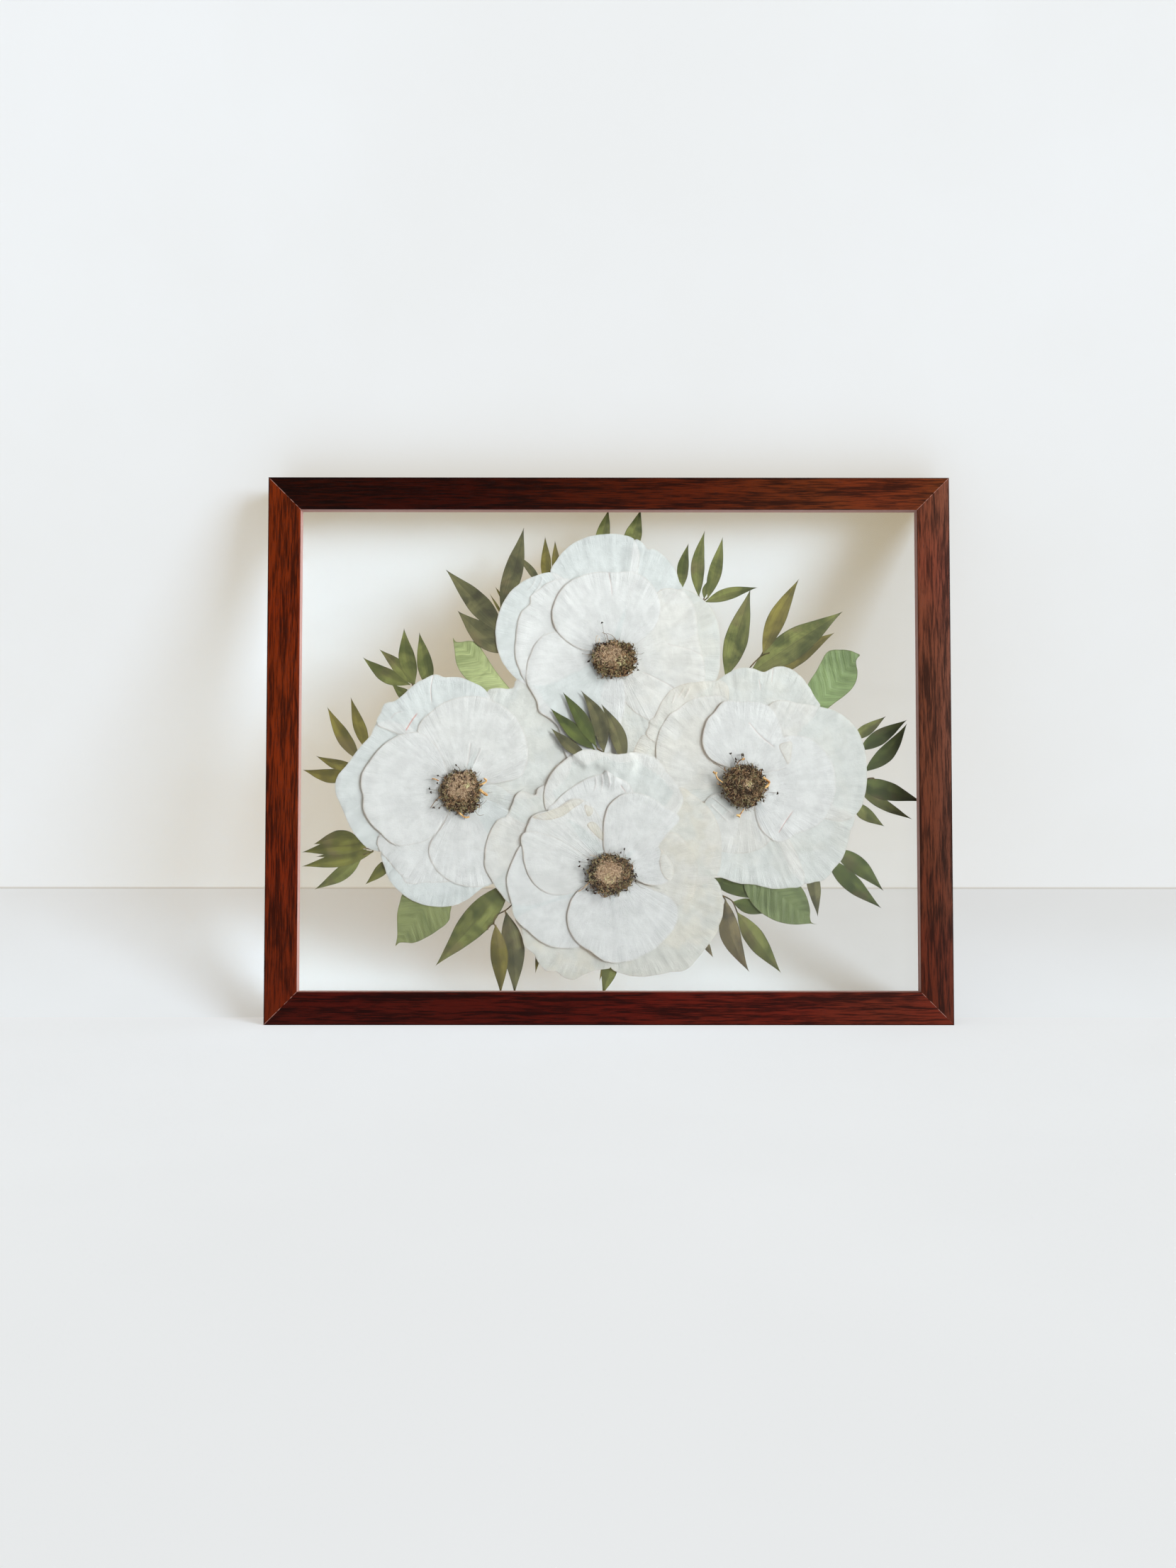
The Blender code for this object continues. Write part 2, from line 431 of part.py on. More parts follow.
def rounded_corner(x, y, toward_x, toward_y):
    """Return the points of a small round on a rail's profile corner."""
    centre_x = x + toward_x * RAIL_EDGE_RADIUS
    centre_y = y + toward_y * RAIL_EDGE_RADIUS
    points = []
    for step in range(RADIUS_STEPS + 1):
        angle = math.radians(90) * step / RADIUS_STEPS
        points.append((centre_x - toward_x * RAIL_EDGE_RADIUS * math.cos(angle),
                       centre_y - toward_y * RAIL_EDGE_RADIUS * math.sin(angle)))
    return points


def rail_profile():
    """Return the rail's section: x inwards from the outer edge, y backwards from the front face."""
    inner_lip = rounded_corner(RAIL_FACE, 0.0, -1, 1)
    inner_lip.reverse()
    rabbet = RAIL_FACE - RABBET_WIDTH
    return (rounded_corner(0.0, 0.0, 1, 1) + inner_lip
            + [(RAIL_FACE, LIP_THICKNESS), (rabbet, LIP_THICKNESS), (rabbet, FRAME_DEPTH), (0.0, FRAME_DEPTH)])


def mitre(mesh, length):
    """Cut both ends of a rail at 45 degrees, half the mitre's gap inside the frame's corners."""
    reach = length / 2 * MM - MITRE_GAP / 2 * MM * math.sqrt(2)
    shape = bmesh.new()
    shape.from_mesh(mesh)
    for side in (1, -1):
        everything = shape.verts[:] + shape.edges[:] + shape.faces[:]
        bmesh.ops.bisect_plane(shape, geom=everything, dist=0.0000001, clear_outer=True,
                               plane_co=(0.0, 0.0, side * reach), plane_no=(1.0, 0.0, side))
        open_edges = [edge for edge in shape.edges if edge.is_boundary]
        bmesh.ops.edgeloop_fill(shape, edges=open_edges)
    bmesh.ops.recalc_face_normals(shape, faces=shape.faces)
    shape.to_mesh(mesh)
    shape.free()


def build_rail(name, length, half_span, turn, collection):
    """Extrude the section along a rail, mitre it, and turn it to its side of the frame."""
    curve = flat_curve(name, length)
    add_straight_outline(curve, rail_profile())
    material = principled(name + "_wood", RAIL_COLOURS[name], 0.35)
    drawn = add_object(name, curve, collection, material)
    rail = solid_from_curve(drawn)
    mitre(rail.data, length)
    # The section's x becomes up, its y becomes backwards, and its length runs sideways.
    upright = Matrix(((0, 0, -1, 0), (0, 1, 0, 0), (1, 0, 0, 0), (0, 0, 0, 1)))
    drop = Matrix.Translation((0.0, -FRAME_DEPTH / 2 * MM, -half_span * MM))
    rail.data.transform(drop @ upright)
    rail.location = (0.0, 0.0, FRAME_HEIGHT / 2 * MM)
    rail.rotation_euler = (0.0, math.radians(turn), 0.0)
    return rail


def build_pane(name, depth, collection):
    bpy.ops.mesh.primitive_cube_add(size=1.0)
    pane = bpy.context.active_object
    pane.name = name
    pane.data.transform(Matrix.Diagonal((PANE_WIDTH * MM, PANE_THICKNESS * MM, PANE_HEIGHT * MM, 1.0)))
    pane.location = (0.0, (depth + PANE_THICKNESS / 2 - FRAME_DEPTH / 2) * MM, FRAME_HEIGHT / 2 * MM)
    arris = pane.modifiers.new("Arris", "BEVEL")
    arris.width = PANE_EDGE_BEVEL * MM
    arris.segments = 1
    pane.data.materials.append(principled(name + "_glass", GLASS_COLOUR, 0.03, transmission=1.0))
    for home in pane.users_collection:
        home.objects.unlink(pane)
    collection.objects.link(pane)
    return pane


def layer_depth(layer):
    return FIRST_LAYER_DEPTH + layer * LAYER_PITCH


def flower_of(name):
    """Return the row of the flower that a petal's name begins with."""
    return FLOWERS["_".join(name.split("_")[:2])]


def with_claw(name, outline):
    """Close a petal's outline with the narrow claw that meets the flower's core."""
    centre = Vector(flower_of(name)[:2])
    points = [Vector(point) for point in outline]
    middle = sum(points, Vector((0.0, 0.0))) / len(points)
    direction = math.atan2(middle.y - centre.y, middle.x - centre.x)
    claw = []
    for side in (1, -1):
        angle = direction + side * CLAW_HALF_ANGLE
        claw.append(centre + Vector((math.cos(angle), math.sin(angle))) * CLAW_RADIUS)
    if (claw[0] - points[-1]).length > (claw[1] - points[-1]).length:
        claw.reverse()
    return [tuple(point) for point in points + claw]


def build_petal(name, outline, depth, thickness, material, collection):
    curve = flat_curve(name, thickness)
    add_smooth_outline(curve, with_claw(name, outline))
    petal = add_object(name, curve, collection, material)
    stand_up(petal, depth)
    return petal


def build_petal_pair(name, layer, outlines, material, collection, cutters):
    """Build two petals that cling together, the second a step behind the first."""
    depth = layer_depth(layer)
    front = build_petal(name, outlines[0], depth, PETAL_THICKNESS, material, collection)
    behind = build_petal(name + "_behind", outlines[1], depth + PAIR_STEP, PETAL_THICKNESS, material,
                         collection)
    bpy.context.view_layer.update()
    front = solid_from_curve(front)
    behind = solid_from_curve(behind)
    join_by_union(front, behind, cutters)
    return front


def dome_profile(radius, front_layer, last_layer):
    """Return the turned section of a flower's centre: (radius, depth) from the front to the back."""
    under = layer_depth(front_layer) - PETAL_THICKNESS / 2 - 0.3
    back = layer_depth(last_layer) + PETAL_THICKNESS / 2 + 0.3
    front = DOME_FRONT_DEPTH
    rise = under - front
    return [(0.0, front), (radius * 0.45, front + rise * 0.12), (radius * 0.8, front + rise * 0.35),
            (radius, front + rise * 0.75), (radius * 0.93, under), (CORE_RADIUS, under),
            (CORE_RADIUS, back), (RECEPTACLE_RADIUS, back), (RECEPTACLE_RADIUS, back + RECEPTACLE_THICKNESS),
            (0.0, back + RECEPTACLE_THICKNESS)]


def make_ragged(mesh, reach):
    """Push the rim of a dome in and out, as the curled stamens do."""
    for vertex in mesh.vertices:
        radius = math.hypot(vertex.co.x, vertex.co.y)
        if radius > reach * 0.4:
            angle = math.atan2(vertex.co.y, vertex.co.x)
            swell = 1.0 + 0.05 * math.sin(5 * angle + reach * 900) + 0.045 * math.sin(11 * angle)
            vertex.co.x *= swell
            vertex.co.y *= swell


def build_centre(flower, row, collection):
    x, z, radius, first_layer, last_layer = row
    name = flower + "_centre"
    section = bpy.data.meshes.new(name)
    points = [(r * MM, 0.0, -depth * MM) for r, depth in dome_profile(radius, first_layer, last_layer)]
    section.from_pydata(points, [(i, i + 1) for i in range(len(points) - 1)], [])
    turned = add_object(name, section, collection, principled(name + "_stamens", CENTRE_COLOUR, 0.9))
    screw = turned.modifiers.new("Turn", "SCREW")
    screw.steps = DOME_STEPS
    screw.render_steps = DOME_STEPS
    screw.use_merge_vertices = True
    screw.merge_threshold = 0.00001
    centre = solid_from_curve(turned)
    make_ragged(centre.data, radius * MM)
    centre.rotation_euler = (math.radians(90), 0.0, 0.0)
    centre.location = (x * MM, -FRAME_DEPTH / 2 * MM, (z + FRAME_HEIGHT / 2) * MM)
    return centre


def leaf_outline(base, tip, width, bend):
    """Return a slender leaf: fullest below its middle, drawn out to a sharp point at the tip."""
    base = Vector(base)
    axis = Vector(tip) - base
    aside = Vector((-axis.y, axis.x)).normalized()
    left = []
    right = []
    for station in LEAF_STATIONS:
        half = width / 2 * math.sin(math.pi * station ** LEAF_BELLY) ** LEAF_POINT
        spine = base + axis * station + aside * bend * math.sin(math.pi * station)
        left.append(tuple(spine + aside * half))
        right.append(tuple(spine - aside * half))
    right.reverse()
    foot = aside * LEAF_BASE_HALF_WIDTH
    return [(*(base - foot), TIP), (*(base + foot), TIP)] + left + [(*tip, TIP)] + right


def build_leaf(name, outline, depth, material, collection, steps=SMOOTH_STEPS):
    curve = flat_curve(name, LEAF_THICKNESS)
    curve.resolution_u = steps
    add_smooth_outline(curve, outline)
    leaf = add_object(name, curve, collection, material)
    stand_up(leaf, depth)
    return leaf


def lengthened(points):
    """Return a stem's points with both ends pushed a little into what they grow from."""
    line = [Vector(point) for point in points]
    line[0] += (line[0] - line[1]).normalized() * STEM_OVERLAP
    line[-1] += (line[-1] - line[-2]).normalized() * STEM_OVERLAP
    return line


def build_stem(name, points, depth, material, collection):
    """Build a pressed stem: a round tube along the points, flattened towards the glass."""
    curve = bpy.data.curves.new(name, "CURVE")
    curve.dimensions = "3D"
    curve.bevel_depth = STEM_WIDTH / 2 * MM
    curve.bevel_resolution = 0
    curve.use_fill_caps = True
    spline = curve.splines.new("POLY")
    spline.points.add(len(points) - 1)
    for knot, point in zip(spline.points, lengthened(points)):
        knot.co = (point[0] * MM, point[1] * MM, 0.0, 1.0)
    stem = add_object(name, curve, collection, material)
    bpy.context.view_layer.update()
    stem = solid_from_curve(stem)
    stem.data.transform(Matrix.Diagonal((1.0, 1.0, STEM_FLATTENING, 1.0)))
    stand_up(stem, depth)
    return stem


def build_twig(name, depth, leaves, stems, collection, cutters):
    """Build a twig's flat leaves and its stems, and grow them together into one piece."""
    material = principled(name + "_green", LEAF_COLOUR, 0.6)
    members = []
    for number, leaf in enumerate(leaves):
        member_name = name if number == 0 else f"{name}_leaf_{number}"
        drawn = build_leaf(member_name, leaf_outline(*leaf), depth, material, collection, 1)
        bpy.context.view_layer.update()
        members.append(solid_from_curve(drawn))
    for number, points in enumerate(stems):
        stem_depth = depth + STEM_STEP * (number + 0.5)
        members.append(build_stem(f"{name}_stem_{number}", points, stem_depth, material, collection))
    for member in members[1:]:
        join_by_union(members[0], member, cutters)
    tidy = members[0].modifiers.new("Merge flat faces", "DECIMATE")
    tidy.decimate_type = "DISSOLVE"
    tidy.angle_limit = math.radians(0.5)
    return members[0]


def build_frame(collection):
    build_rail("rail_bottom", FRAME_WIDTH, FRAME_HEIGHT / 2, 0, collection)
    build_rail("rail_top", FRAME_WIDTH, FRAME_HEIGHT / 2, 180, collection)
    build_rail("rail_left", FRAME_HEIGHT, FRAME_WIDTH / 2, 90, collection)
    build_rail("rail_right", FRAME_HEIGHT, FRAME_WIDTH / 2, -90, collection)
    build_pane("pane_front", FRONT_PANE_DEPTH, collection)
    build_pane("pane_back", BACK_PANE_DEPTH, collection)


def build_flowers(collection, cutters):
    for flower, row in FLOWERS.items():
        build_centre(flower, row, collection)
    for name, (layer, outline) in PETALS.items():
        material = principled(name + "_white", PETAL_COLOUR, 0.7)
        build_petal(name, outline, layer_depth(layer), PETAL_THICKNESS, material, collection)
    for name, (layer, front, back) in PETAL_PAIRS.items():
        material = principled(name + "_white", PETAL_COLOUR, 0.7)
        build_petal_pair(name, layer, (front, back), material, collection, cutters)


def build_foliage(collection, cutters):
    for name, (depth, leaves, stems) in TWIGS.items():
        depth = layer_depth(CENTRE_TWIG_LAYER) if depth is None else depth
        build_twig(name, depth, leaves, stems, collection, cutters)
    for name, (depth, outline) in BROAD_LEAVES.items():
        material = principled(name + "_green", BROAD_LEAF_COLOUR, 0.6)
        build_leaf(name, outline, depth, material, collection)


def main():
    clear_scene()
    collection = new_collection("Pressed flower frame")
    cutters = new_collection("Cutters")
    build_frame(collection)
    build_flowers(collection, cutters)
    build_foliage(collection, cutters)


main()
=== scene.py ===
"""Looks of the pressed flower frame: stained rails, two glass panes and the dried specimens between them.

Lengths in the tables are millimetres. A point (x, z) is read from the middle of the frame, x to the
viewer's right and z up. A depth is measured backwards from the front face of the rails.
"""
import logging
import random
from collections.abc import Callable, Iterable, Sequence
from dataclasses import dataclass, field
from enum import Enum
from math import atan2, cos, exp, hypot, pi, radians, sin, sqrt, tau

import bmesh
import bpy
import numpy as np
from bpy.types import Material, Node, NodeTree, Object
from mathutils import Matrix, Vector, noise
from mathutils.geometry import delaunay_2d_cdt


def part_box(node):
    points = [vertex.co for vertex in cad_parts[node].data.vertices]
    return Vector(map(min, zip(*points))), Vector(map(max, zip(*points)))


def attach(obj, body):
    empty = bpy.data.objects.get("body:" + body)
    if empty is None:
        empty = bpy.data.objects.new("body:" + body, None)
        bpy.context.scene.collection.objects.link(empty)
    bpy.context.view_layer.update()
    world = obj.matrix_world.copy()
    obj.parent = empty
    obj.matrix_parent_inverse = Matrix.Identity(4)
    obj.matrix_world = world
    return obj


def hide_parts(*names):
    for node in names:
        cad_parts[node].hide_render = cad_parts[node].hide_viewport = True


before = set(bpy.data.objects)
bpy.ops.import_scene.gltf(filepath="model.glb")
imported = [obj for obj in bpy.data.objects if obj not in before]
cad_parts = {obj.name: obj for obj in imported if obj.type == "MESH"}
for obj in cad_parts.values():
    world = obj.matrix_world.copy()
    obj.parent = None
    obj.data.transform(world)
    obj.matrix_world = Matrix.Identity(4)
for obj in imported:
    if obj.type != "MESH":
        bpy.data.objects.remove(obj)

LOG = logging.getLogger("pressed_flower_frame")

MM = 0.001
ROOT = "root"
HALF_WIDTH = 190.5
HALF_HEIGHT = 152.4
FRAME_DEPTH = 25.0

# Where the photograph was taken from, and the depth at which the specimens were measured.
EYE = (-0.0126, -0.6652, 0.1116)
MEASURED_DEPTH = 10.0

FOLIAGE_FRONT = 15.8
FOLIAGE_BACK = 16.45
CENTRE_TWIG = 12.2

Array = np.ndarray
Point = tuple[float, float]
Triple = tuple[float, float, float]
Colour = Triple
Stops = tuple[tuple[float, Colour], ...]
Window = tuple[slice, slice]
Socket = bpy.types.NodeSocket


class Tint(Enum):
    """How far a slender leaf has browned in the press, from 0 (green) to 1 (brown)."""

    GREEN = 0.12
    OLIVE = 0.38
    MOSS = 0.44
    DARK = 0.5
    DUSKY = 0.72
    BROWN = 1.0


@dataclass(frozen=True)
class Leaf:
    """One slender leaf: where it starts, its tip, its width and its sideways bend."""

    base: Point
    tip: Point
    width: float
    bend: float
    tint: Tint


@dataclass(frozen=True)
class Twig:
    """One twig as it grew: its CAD node, its depth, its leaves and the runs of its stem."""

    node: str
    depth: float
    leaves: tuple[Leaf, ...]
    stems: tuple[tuple[Point, ...], ...]


GREEN, OLIVE, MOSS, DARK, DUSKY, BROWN = Tint

# A twig's CAD node, its depth, its leaves (start, tip, width, bend, tint) and the runs of its stem.
TWIG_ROWS = (
    ("twig_centre", CENTRE_TWIG, (
        ((-7, 2), (-26, 33), 8.0, -1.0, DARK), ((-2.8, -1.3), (-15.7, 33.8), 9.4, -4.0, DUSKY),
        ((9, -8), (-4.3, 26.3), 8.8, -2.5, DUSKY), ((-8, 0.5), (-33, 23.8), 8.0, 0.5, DARK),
        ((-12, -4), (-32.5, 12.5), 6.5, 1.0, DUSKY)), (
        ((-7, 3), (-6.3, 0.8), (-2.8, -1.6), (2, -10)), ((-8, 0.5), (-12, -4), (2, -10)),
        ((9, -7.5), (2, -10), (2, -18)))),
    ("twig_top_left", FOLIAGE_FRONT, (
        ((-61, 79), (-48, 126.5), 11.0, -1.0, DUSKY), ((-38, 93), (-53, 111.5), 4.2, -1.0, DUSKY),
        ((-35, 92), (-36, 121.5), 6.0, 0.0, OLIVE), ((-29.5, 97), (-30.4, 119), 4.6, 0.0, OLIVE),
        ((-58, 83), (-64.2, 92.6), 1.8, 0.0, OLIVE), ((-58.5, 74), (-67.4, 88.8), 1.6, 0.0, OLIVE)), (
        ((-61, 80), (-58.5, 74), (-46, 72), (-20, 62)), ((-38, 93), (-35, 92), (-33, 80), (-20, 62)),
        ((-29.5, 97), (-33, 80)), ((-58, 83), (-58.5, 74)))),
    ("twig_upper_left", FOLIAGE_FRONT, (
        ((-59, 66), (-92.3, 102.5), 12.4, -0.5, DUSKY), ((-54, 55), (-85.5, 79), 13.6, 2.0, DUSKY)), (
        ((-59, 66), (-52, 60), (-34, 54)), ((-54, 55), (-52, 60)))),
    ("twig_left_upper", FOLIAGE_FRONT, (
        ((-109.5, 37), (-115.6, 69), 9.5, 1.5, GREEN), ((-101, 34), (-107, 66.7), 8.8, 0.0, GREEN),
        ((-110, 37), (-129.5, 57), 7.5, -1.0, GREEN), ((-112, 37), (-138.8, 52.5), 8.5, 2.2, GREEN),
        ((-107, 27), (-122.5, 37.5), 7.0, 1.0, GREEN)), (
        ((-111, 38), (-107, 27), (-100, 10)), ((-101, 34), (-107, 27)))),
    ("twig_left", FOLIAGE_FRONT, (
        ((-140, -6), (-158.7, 24.5), 8.0, 1.0, OLIVE), ((-135, -1), (-145.5, 30), 7.0, 0.5, OLIVE),
        ((-141, -10), (-164.7, -3.3), 6.0, 1.5, OLIVE), ((-143, -14), (-172.2, -11), 8.0, 2.0, OLIVE)), (
        ((-135, -1), (-138, -8), (-128, -14), (-112, -16)), ((-140, -6), (-138, -8)),
        ((-141, -10), (-138, -8)), ((-143, -14), (-138, -8)))),
    ("twig_lower_left", FOLIAGE_FRONT, (
        ((-138, -51), (-165.7, -53), 9.0, -2.5, MOSS), ((-134, -53.5), (-172.2, -57.5), 9.5, -1.0, MOSS),
        ((-132, -57), (-172.2, -65.4), 8.5, 0.5, MOSS), ((-136, -56), (-164.3, -60), 5.0, 0.0, MOSS),
        ((-138, -59), (-165, -78.3), 8.0, 1.5, GREEN), ((-121, -60), (-136.5, -75.5), 6.5, 0.5, MOSS)), (
        ((-138, -55), (-126, -56), (-112, -50)), ((-138, -59), (-132, -56), (-138, -51)),
        ((-121, -60), (-119, -53)))),
    ("twig_bottom_left", FOLIAGE_FRONT, (
        ((-55, -74), (-97, -121), 16.5, 0.0, GREEN), ((-63.5, -98), (-60.5, -137), 10.0, 1.0, OLIVE),
        ((-57.5, -91), (-52.7, -137), 12.5, 2.0, DUSKY)), (
        ((-64.5, -97.5), (-63.2, -93), (-58, -90), (-54.5, -87), (-46, -78), (-30, -76)),
        ((-68, -101), (-67, -98.7), (-64.5, -97.5), (-63.5, -99)), ((-57.7, -92), (-58, -90)),
        ((-56, -75), (-46, -78)))),
    ("twig_bottom", FOLIAGE_FRONT, (
        ((-38.5, -109), (-41, -125), 2.8, 0.0, OLIVE), ((4, -112), (-3.5, -137), 8.5, 0.0, GREEN),
        ((-1, -114), (-5.2, -129.5), 2.2, 0.0, OLIVE)), (
        ((-38.5, -109), (-22, -98), (-4, -92)), ((4, -112), (2, -104), (-4, -92)),
        ((-1, -114), (2, -104)))),
    ("twig_lower_right", FOLIAGE_BACK, (
        ((65.5, -84), (78.7, -124.3), 11.5, -3.5, BROWN), ((72, -91), (96.5, -124.8), 11.0, -0.5, GREEN),
        ((56, -72), (90, -84), 8.5, 0.0, DARK), ((69.4, -85.2), (92, -91), 8.5, 0.0, DARK),
        ((51, -103), (58.5, -116.2), 4.0, 0.0, BROWN)), (
        ((72, -91), (71.5, -89.5), (69.5, -85), (66, -82.6), (58, -79), (40, -72)),
        ((65.5, -84), (64, -81.7)), ((56, -72), (50, -76)), ((51, -103), (50, -90), (48, -75)))),
    ("leaf_slender_lower_right", FOLIAGE_FRONT, (
        ((112.5, -62), (117.3, -93.4), 7.5, 0.5, DUSKY),), (
        ((112.7, -63), (110, -52)),)),
    ("twig_right_lower", FOLIAGE_FRONT, (
        ((125, -55), (154.2, -79), 10.0, 2.0, DARK), ((122, -60), (153, -88.7), 10.0, -1.0, DARK)), (
        ((125, -55), (120, -54), (104, -44)), ((122, -60), (120, -54)))),
    ("twig_right", FOLIAGE_FRONT, (
        ((138, -18), (176, -28.8), 11.0, 0.5, DARK), ((139, -20), (170.7, -38.8), 6.5, -1.0, GREEN),
        ((136, -29), (155, -42.8), 7.5, -0.5, GREEN)), (
        ((138, -18.5), (132, -20), (112, -18)), ((136, -29), (132, -20)),
        ((138, -18), (144, -16.3), (149, -15.6), (150, -17)))),
    ("twig_right_upper", FOLIAGE_FRONT, (
        ((136, 6), (156.3, 19.3), 6.5, -0.5, GREEN), ((144, -12), (168.2, 15.2), 9.0, -2.5, DARK),
        ((141, 0), (168.2, 17.2), 8.5, 0.0, DARK)), (
        ((136, 6), (132, -2), (114, -6)), ((141, 0), (132, -2)), ((144, -12), (132, -2)))),
    ("twig_upper_right", FOLIAGE_FRONT, (
        ((66, 41), (80.3, 91.5), 13.0, 0.0, GREEN), ((87, 54.5), (107.8, 97.3), 10.2, 1.5, OLIVE),
        ((80, 44), (132.5, 78.7), 17.0, 0.0, GREEN), ((84, 42), (127.7, 66.6), 13.0, 0.0, OLIVE)), (
        ((91, 55.2), (86.5, 53.5), (80, 47), (74, 38), (78, 20)), ((86.5, 53.5), (87, 55.5)),
        ((66, 41), (74, 38)), ((81, 44.5), (78, 44)))),
    ("twig_top_right", FOLIAGE_BACK, (
        ((41.5, 91.5), (45.3, 117.5), 6.5, 1.2, GREEN), ((51, 87), (54.5, 124.7), 7.8, 2.2, GREEN),
        ((56, 86), (64.7, 121.2), 7.6, -0.5, GREEN), ((54, 86), (57.3, 97), 3.4, 0.8, GREEN),
        ((54.5, 84), (84.3, 92.3), 7.0, 1.0, GREEN)), (
        ((51, 87.5), (51.5, 83.5), (44, 74), (30, 60)), ((41.5, 91.5), (45, 76)),
        ((54.5, 84.2), (51.5, 83)), ((54, 86), (52, 83)), ((56, 86.5), (52, 83)))),
    ("twig_top", FOLIAGE_FRONT, (
        ((-6, 110), (0, 136.8), 8.0, 0.0, GREEN), ((8.5, 107), (18.3, 137), 10.0, -0.5, GREEN)), (
        ((-6, 110.5), (2, 102), (4, 84)), ((8.5, 107.5), (2, 102)))),
)
TWIGS = tuple(Twig(node, depth, tuple(Leaf(*leaf) for leaf in leaves), stems)
              for node, depth, leaves, stems in TWIG_ROWS)


# --- shared workshop helpers -----------------------------------------------------------------------


def spot(x: float, z: float, depth: float) -> Vector:
    """Return the place in metres of a point given in millimetres from the frame's middle.

    Args:
        x: Millimetres to the viewer's right.
        z: Millimetres up.
        depth: Millimetres behind the rails' front face.

    Returns:
        The point in the scene.
    """
    return Vector((x * MM, (depth - FRAME_DEPTH / 2) * MM, (z + HALF_HEIGHT) * MM))


def seen_at(x: float, z: float, depth: float) -> Point:
    """Slide a measured point along the line of sight to the depth where it lies.

    Args:
        x: Millimetres to the viewer's right, as measured.
        z: Millimetres up, as measured.
        depth: Millimetres behind the rails' front face where the point lies.

    Returns:
        Its true millimetres to the right and up.
    """
    eye_x, eye_z = EYE[0] / MM, EYE[2] / MM - HALF_HEIGHT
    away = (depth - MEASURED_DEPTH) / (MEASURED_DEPTH - FRAME_DEPTH / 2 - EYE[1] / MM)
    return x + (x - eye_x) * away, z + (z - eye_z) * away


def pick_only(*pieces: Object) -> None:
    """Deselect everything, then select these pieces and make the first one active."""
    bpy.ops.object.select_all(action="DESELECT")
    for piece in pieces:
        piece.select_set(True)
    bpy.context.view_layer.objects.active = pieces[0]


def apply_place(piece: Object) -> None:
    """Put a piece's place, turn and scale into its mesh."""
    pick_only(piece)
    bpy.ops.object.transform_apply(location=True, rotation=True, scale=True)


def apply_modifiers(piece: Object) -> None:
    """Apply all modifiers of a piece in their order."""
    pick_only(piece)
    for modifier in list(piece.modifiers):
        bpy.ops.object.modifier_apply(modifier=modifier.name)


def thicken(piece: Object, thickness: float) -> None:
    """Give a sheet its thickness in millimetres, grown backwards from its front side."""
    wall = piece.modifiers.new("Thickness", "SOLIDIFY")
    wall.thickness = thickness * MM
    wall.offset = -1.0
    apply_modifiers(piece)


def smooth(piece: Object, degrees: float = 40.0) -> None:
    """Shade a piece smooth, with creases where faces meet at more than some degrees."""
    pick_only(piece)
    bpy.ops.object.shade_smooth_by_angle(angle=radians(degrees))


def mesh_piece(name: str, points: Sequence[Vector], faces: Sequence[Sequence[int]]) -> Object:
    """Make an object from points in metres and faces.

    Args:
        name: The piece's name.
        points: Its vertices.
        faces: Its faces as vertex numbers.

    Returns:
        The new object, linked to the scene.
    """
    mesh = bpy.data.meshes.new(name)
    mesh.from_pydata([tuple(point) for point in points], [], [tuple(face) for face in faces])
    piece = bpy.data.objects.new(name, mesh)
    bpy.context.scene.collection.objects.link(piece)
    return piece


def join(name: str, members: Sequence[Object]) -> Object:
    """Join meshes that grew as one piece and name the result."""
    pick_only(*members)
    if len(members) > 1:
        bpy.ops.object.join()
    piece = bpy.context.view_layer.objects.active
    piece.name = name
    piece.data.name = name
    return piece


def hand_over(piece: Object, slot: str, *nodes: str) -> Object:
    """Attach a finished piece to the body and hide the CAD nodes it stands for."""
    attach(piece, ROOT)
    if nodes:
        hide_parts(*nodes)
    LOG.info("%s: %d faces", piece.name, len(piece.data.polygons))
    return piece


def write_values(piece: Object, name: str, values: Sequence[float]) -> None:
    """Store one number for each vertex under a name that a material can read."""
    layer = piece.data.attributes.new(name, "FLOAT", "POINT")
    layer.data.foreach_set("value", np.asarray(values, dtype=np.float32))


def write_uv(piece: Object, pairs: Array) -> None:
    """Store a surface coordinate for each vertex as the piece's UV map."""
    mesh = piece.data
    layer = mesh.uv_layers.new(name="UVMap")
    corners = np.empty(len(mesh.loops), dtype=np.int32)
    mesh.loops.foreach_get("vertex_index", corners)
    layer.data.foreach_set("uv", np.asarray(pairs, dtype=np.float32)[corners].ravel())


def wander(x: float, z: float, size: float, seed: float = 0.0) -> float:
    """Return smooth noise between about -1 and 1 that changes over some millimetres."""
    return noise.noise(Vector((x / size, z / size, seed)))


def tube(path: Sequence[Vector], radii: Sequence[float], sides: int) -> tuple[list[Vector], list[tuple]]:
    """Return the vertices and faces of a closed tube along a path that lies near the glass.

    Args:
        path: The points of its middle line.
        radii: Its radius at each point.
        sides: How many sides its section has.

    Returns:
        Its vertices and its faces, facing outwards.
    """
    points: list[Vector] = []
    faces: list[tuple] = []
    for index, centre in enumerate(path):
        ahead = path[min(index + 1, len(path) - 1)] - path[max(index - 1, 0)]
        along = ahead.normalized() if ahead.length > 0 else Vector((1.0, 0.0, 0.0))
        outward = Vector((0.0, -1.0, 0.0))
        side = along.cross(outward)
        side = side.normalized() if side.length > 1e-9 else Vector((1.0, 0.0, 0.0))
        front = side.cross(along)
        for step in range(sides):
            angle = tau * step / sides
            points.append(centre + radii[index] * (side * cos(angle) + front * sin(angle)))
    for ring in range(len(path) - 1):
        for step in range(sides):
            after = (step + 1) % sides
            low, high = ring * sides, (ring + 1) * sides
            faces.append((low + step, low + after, high + after, high + step))
    faces.append(tuple(range(sides - 1, -1, -1)))
    faces.append(tuple((len(path) - 1) * sides + step for step in range(sides)))
    return points, faces


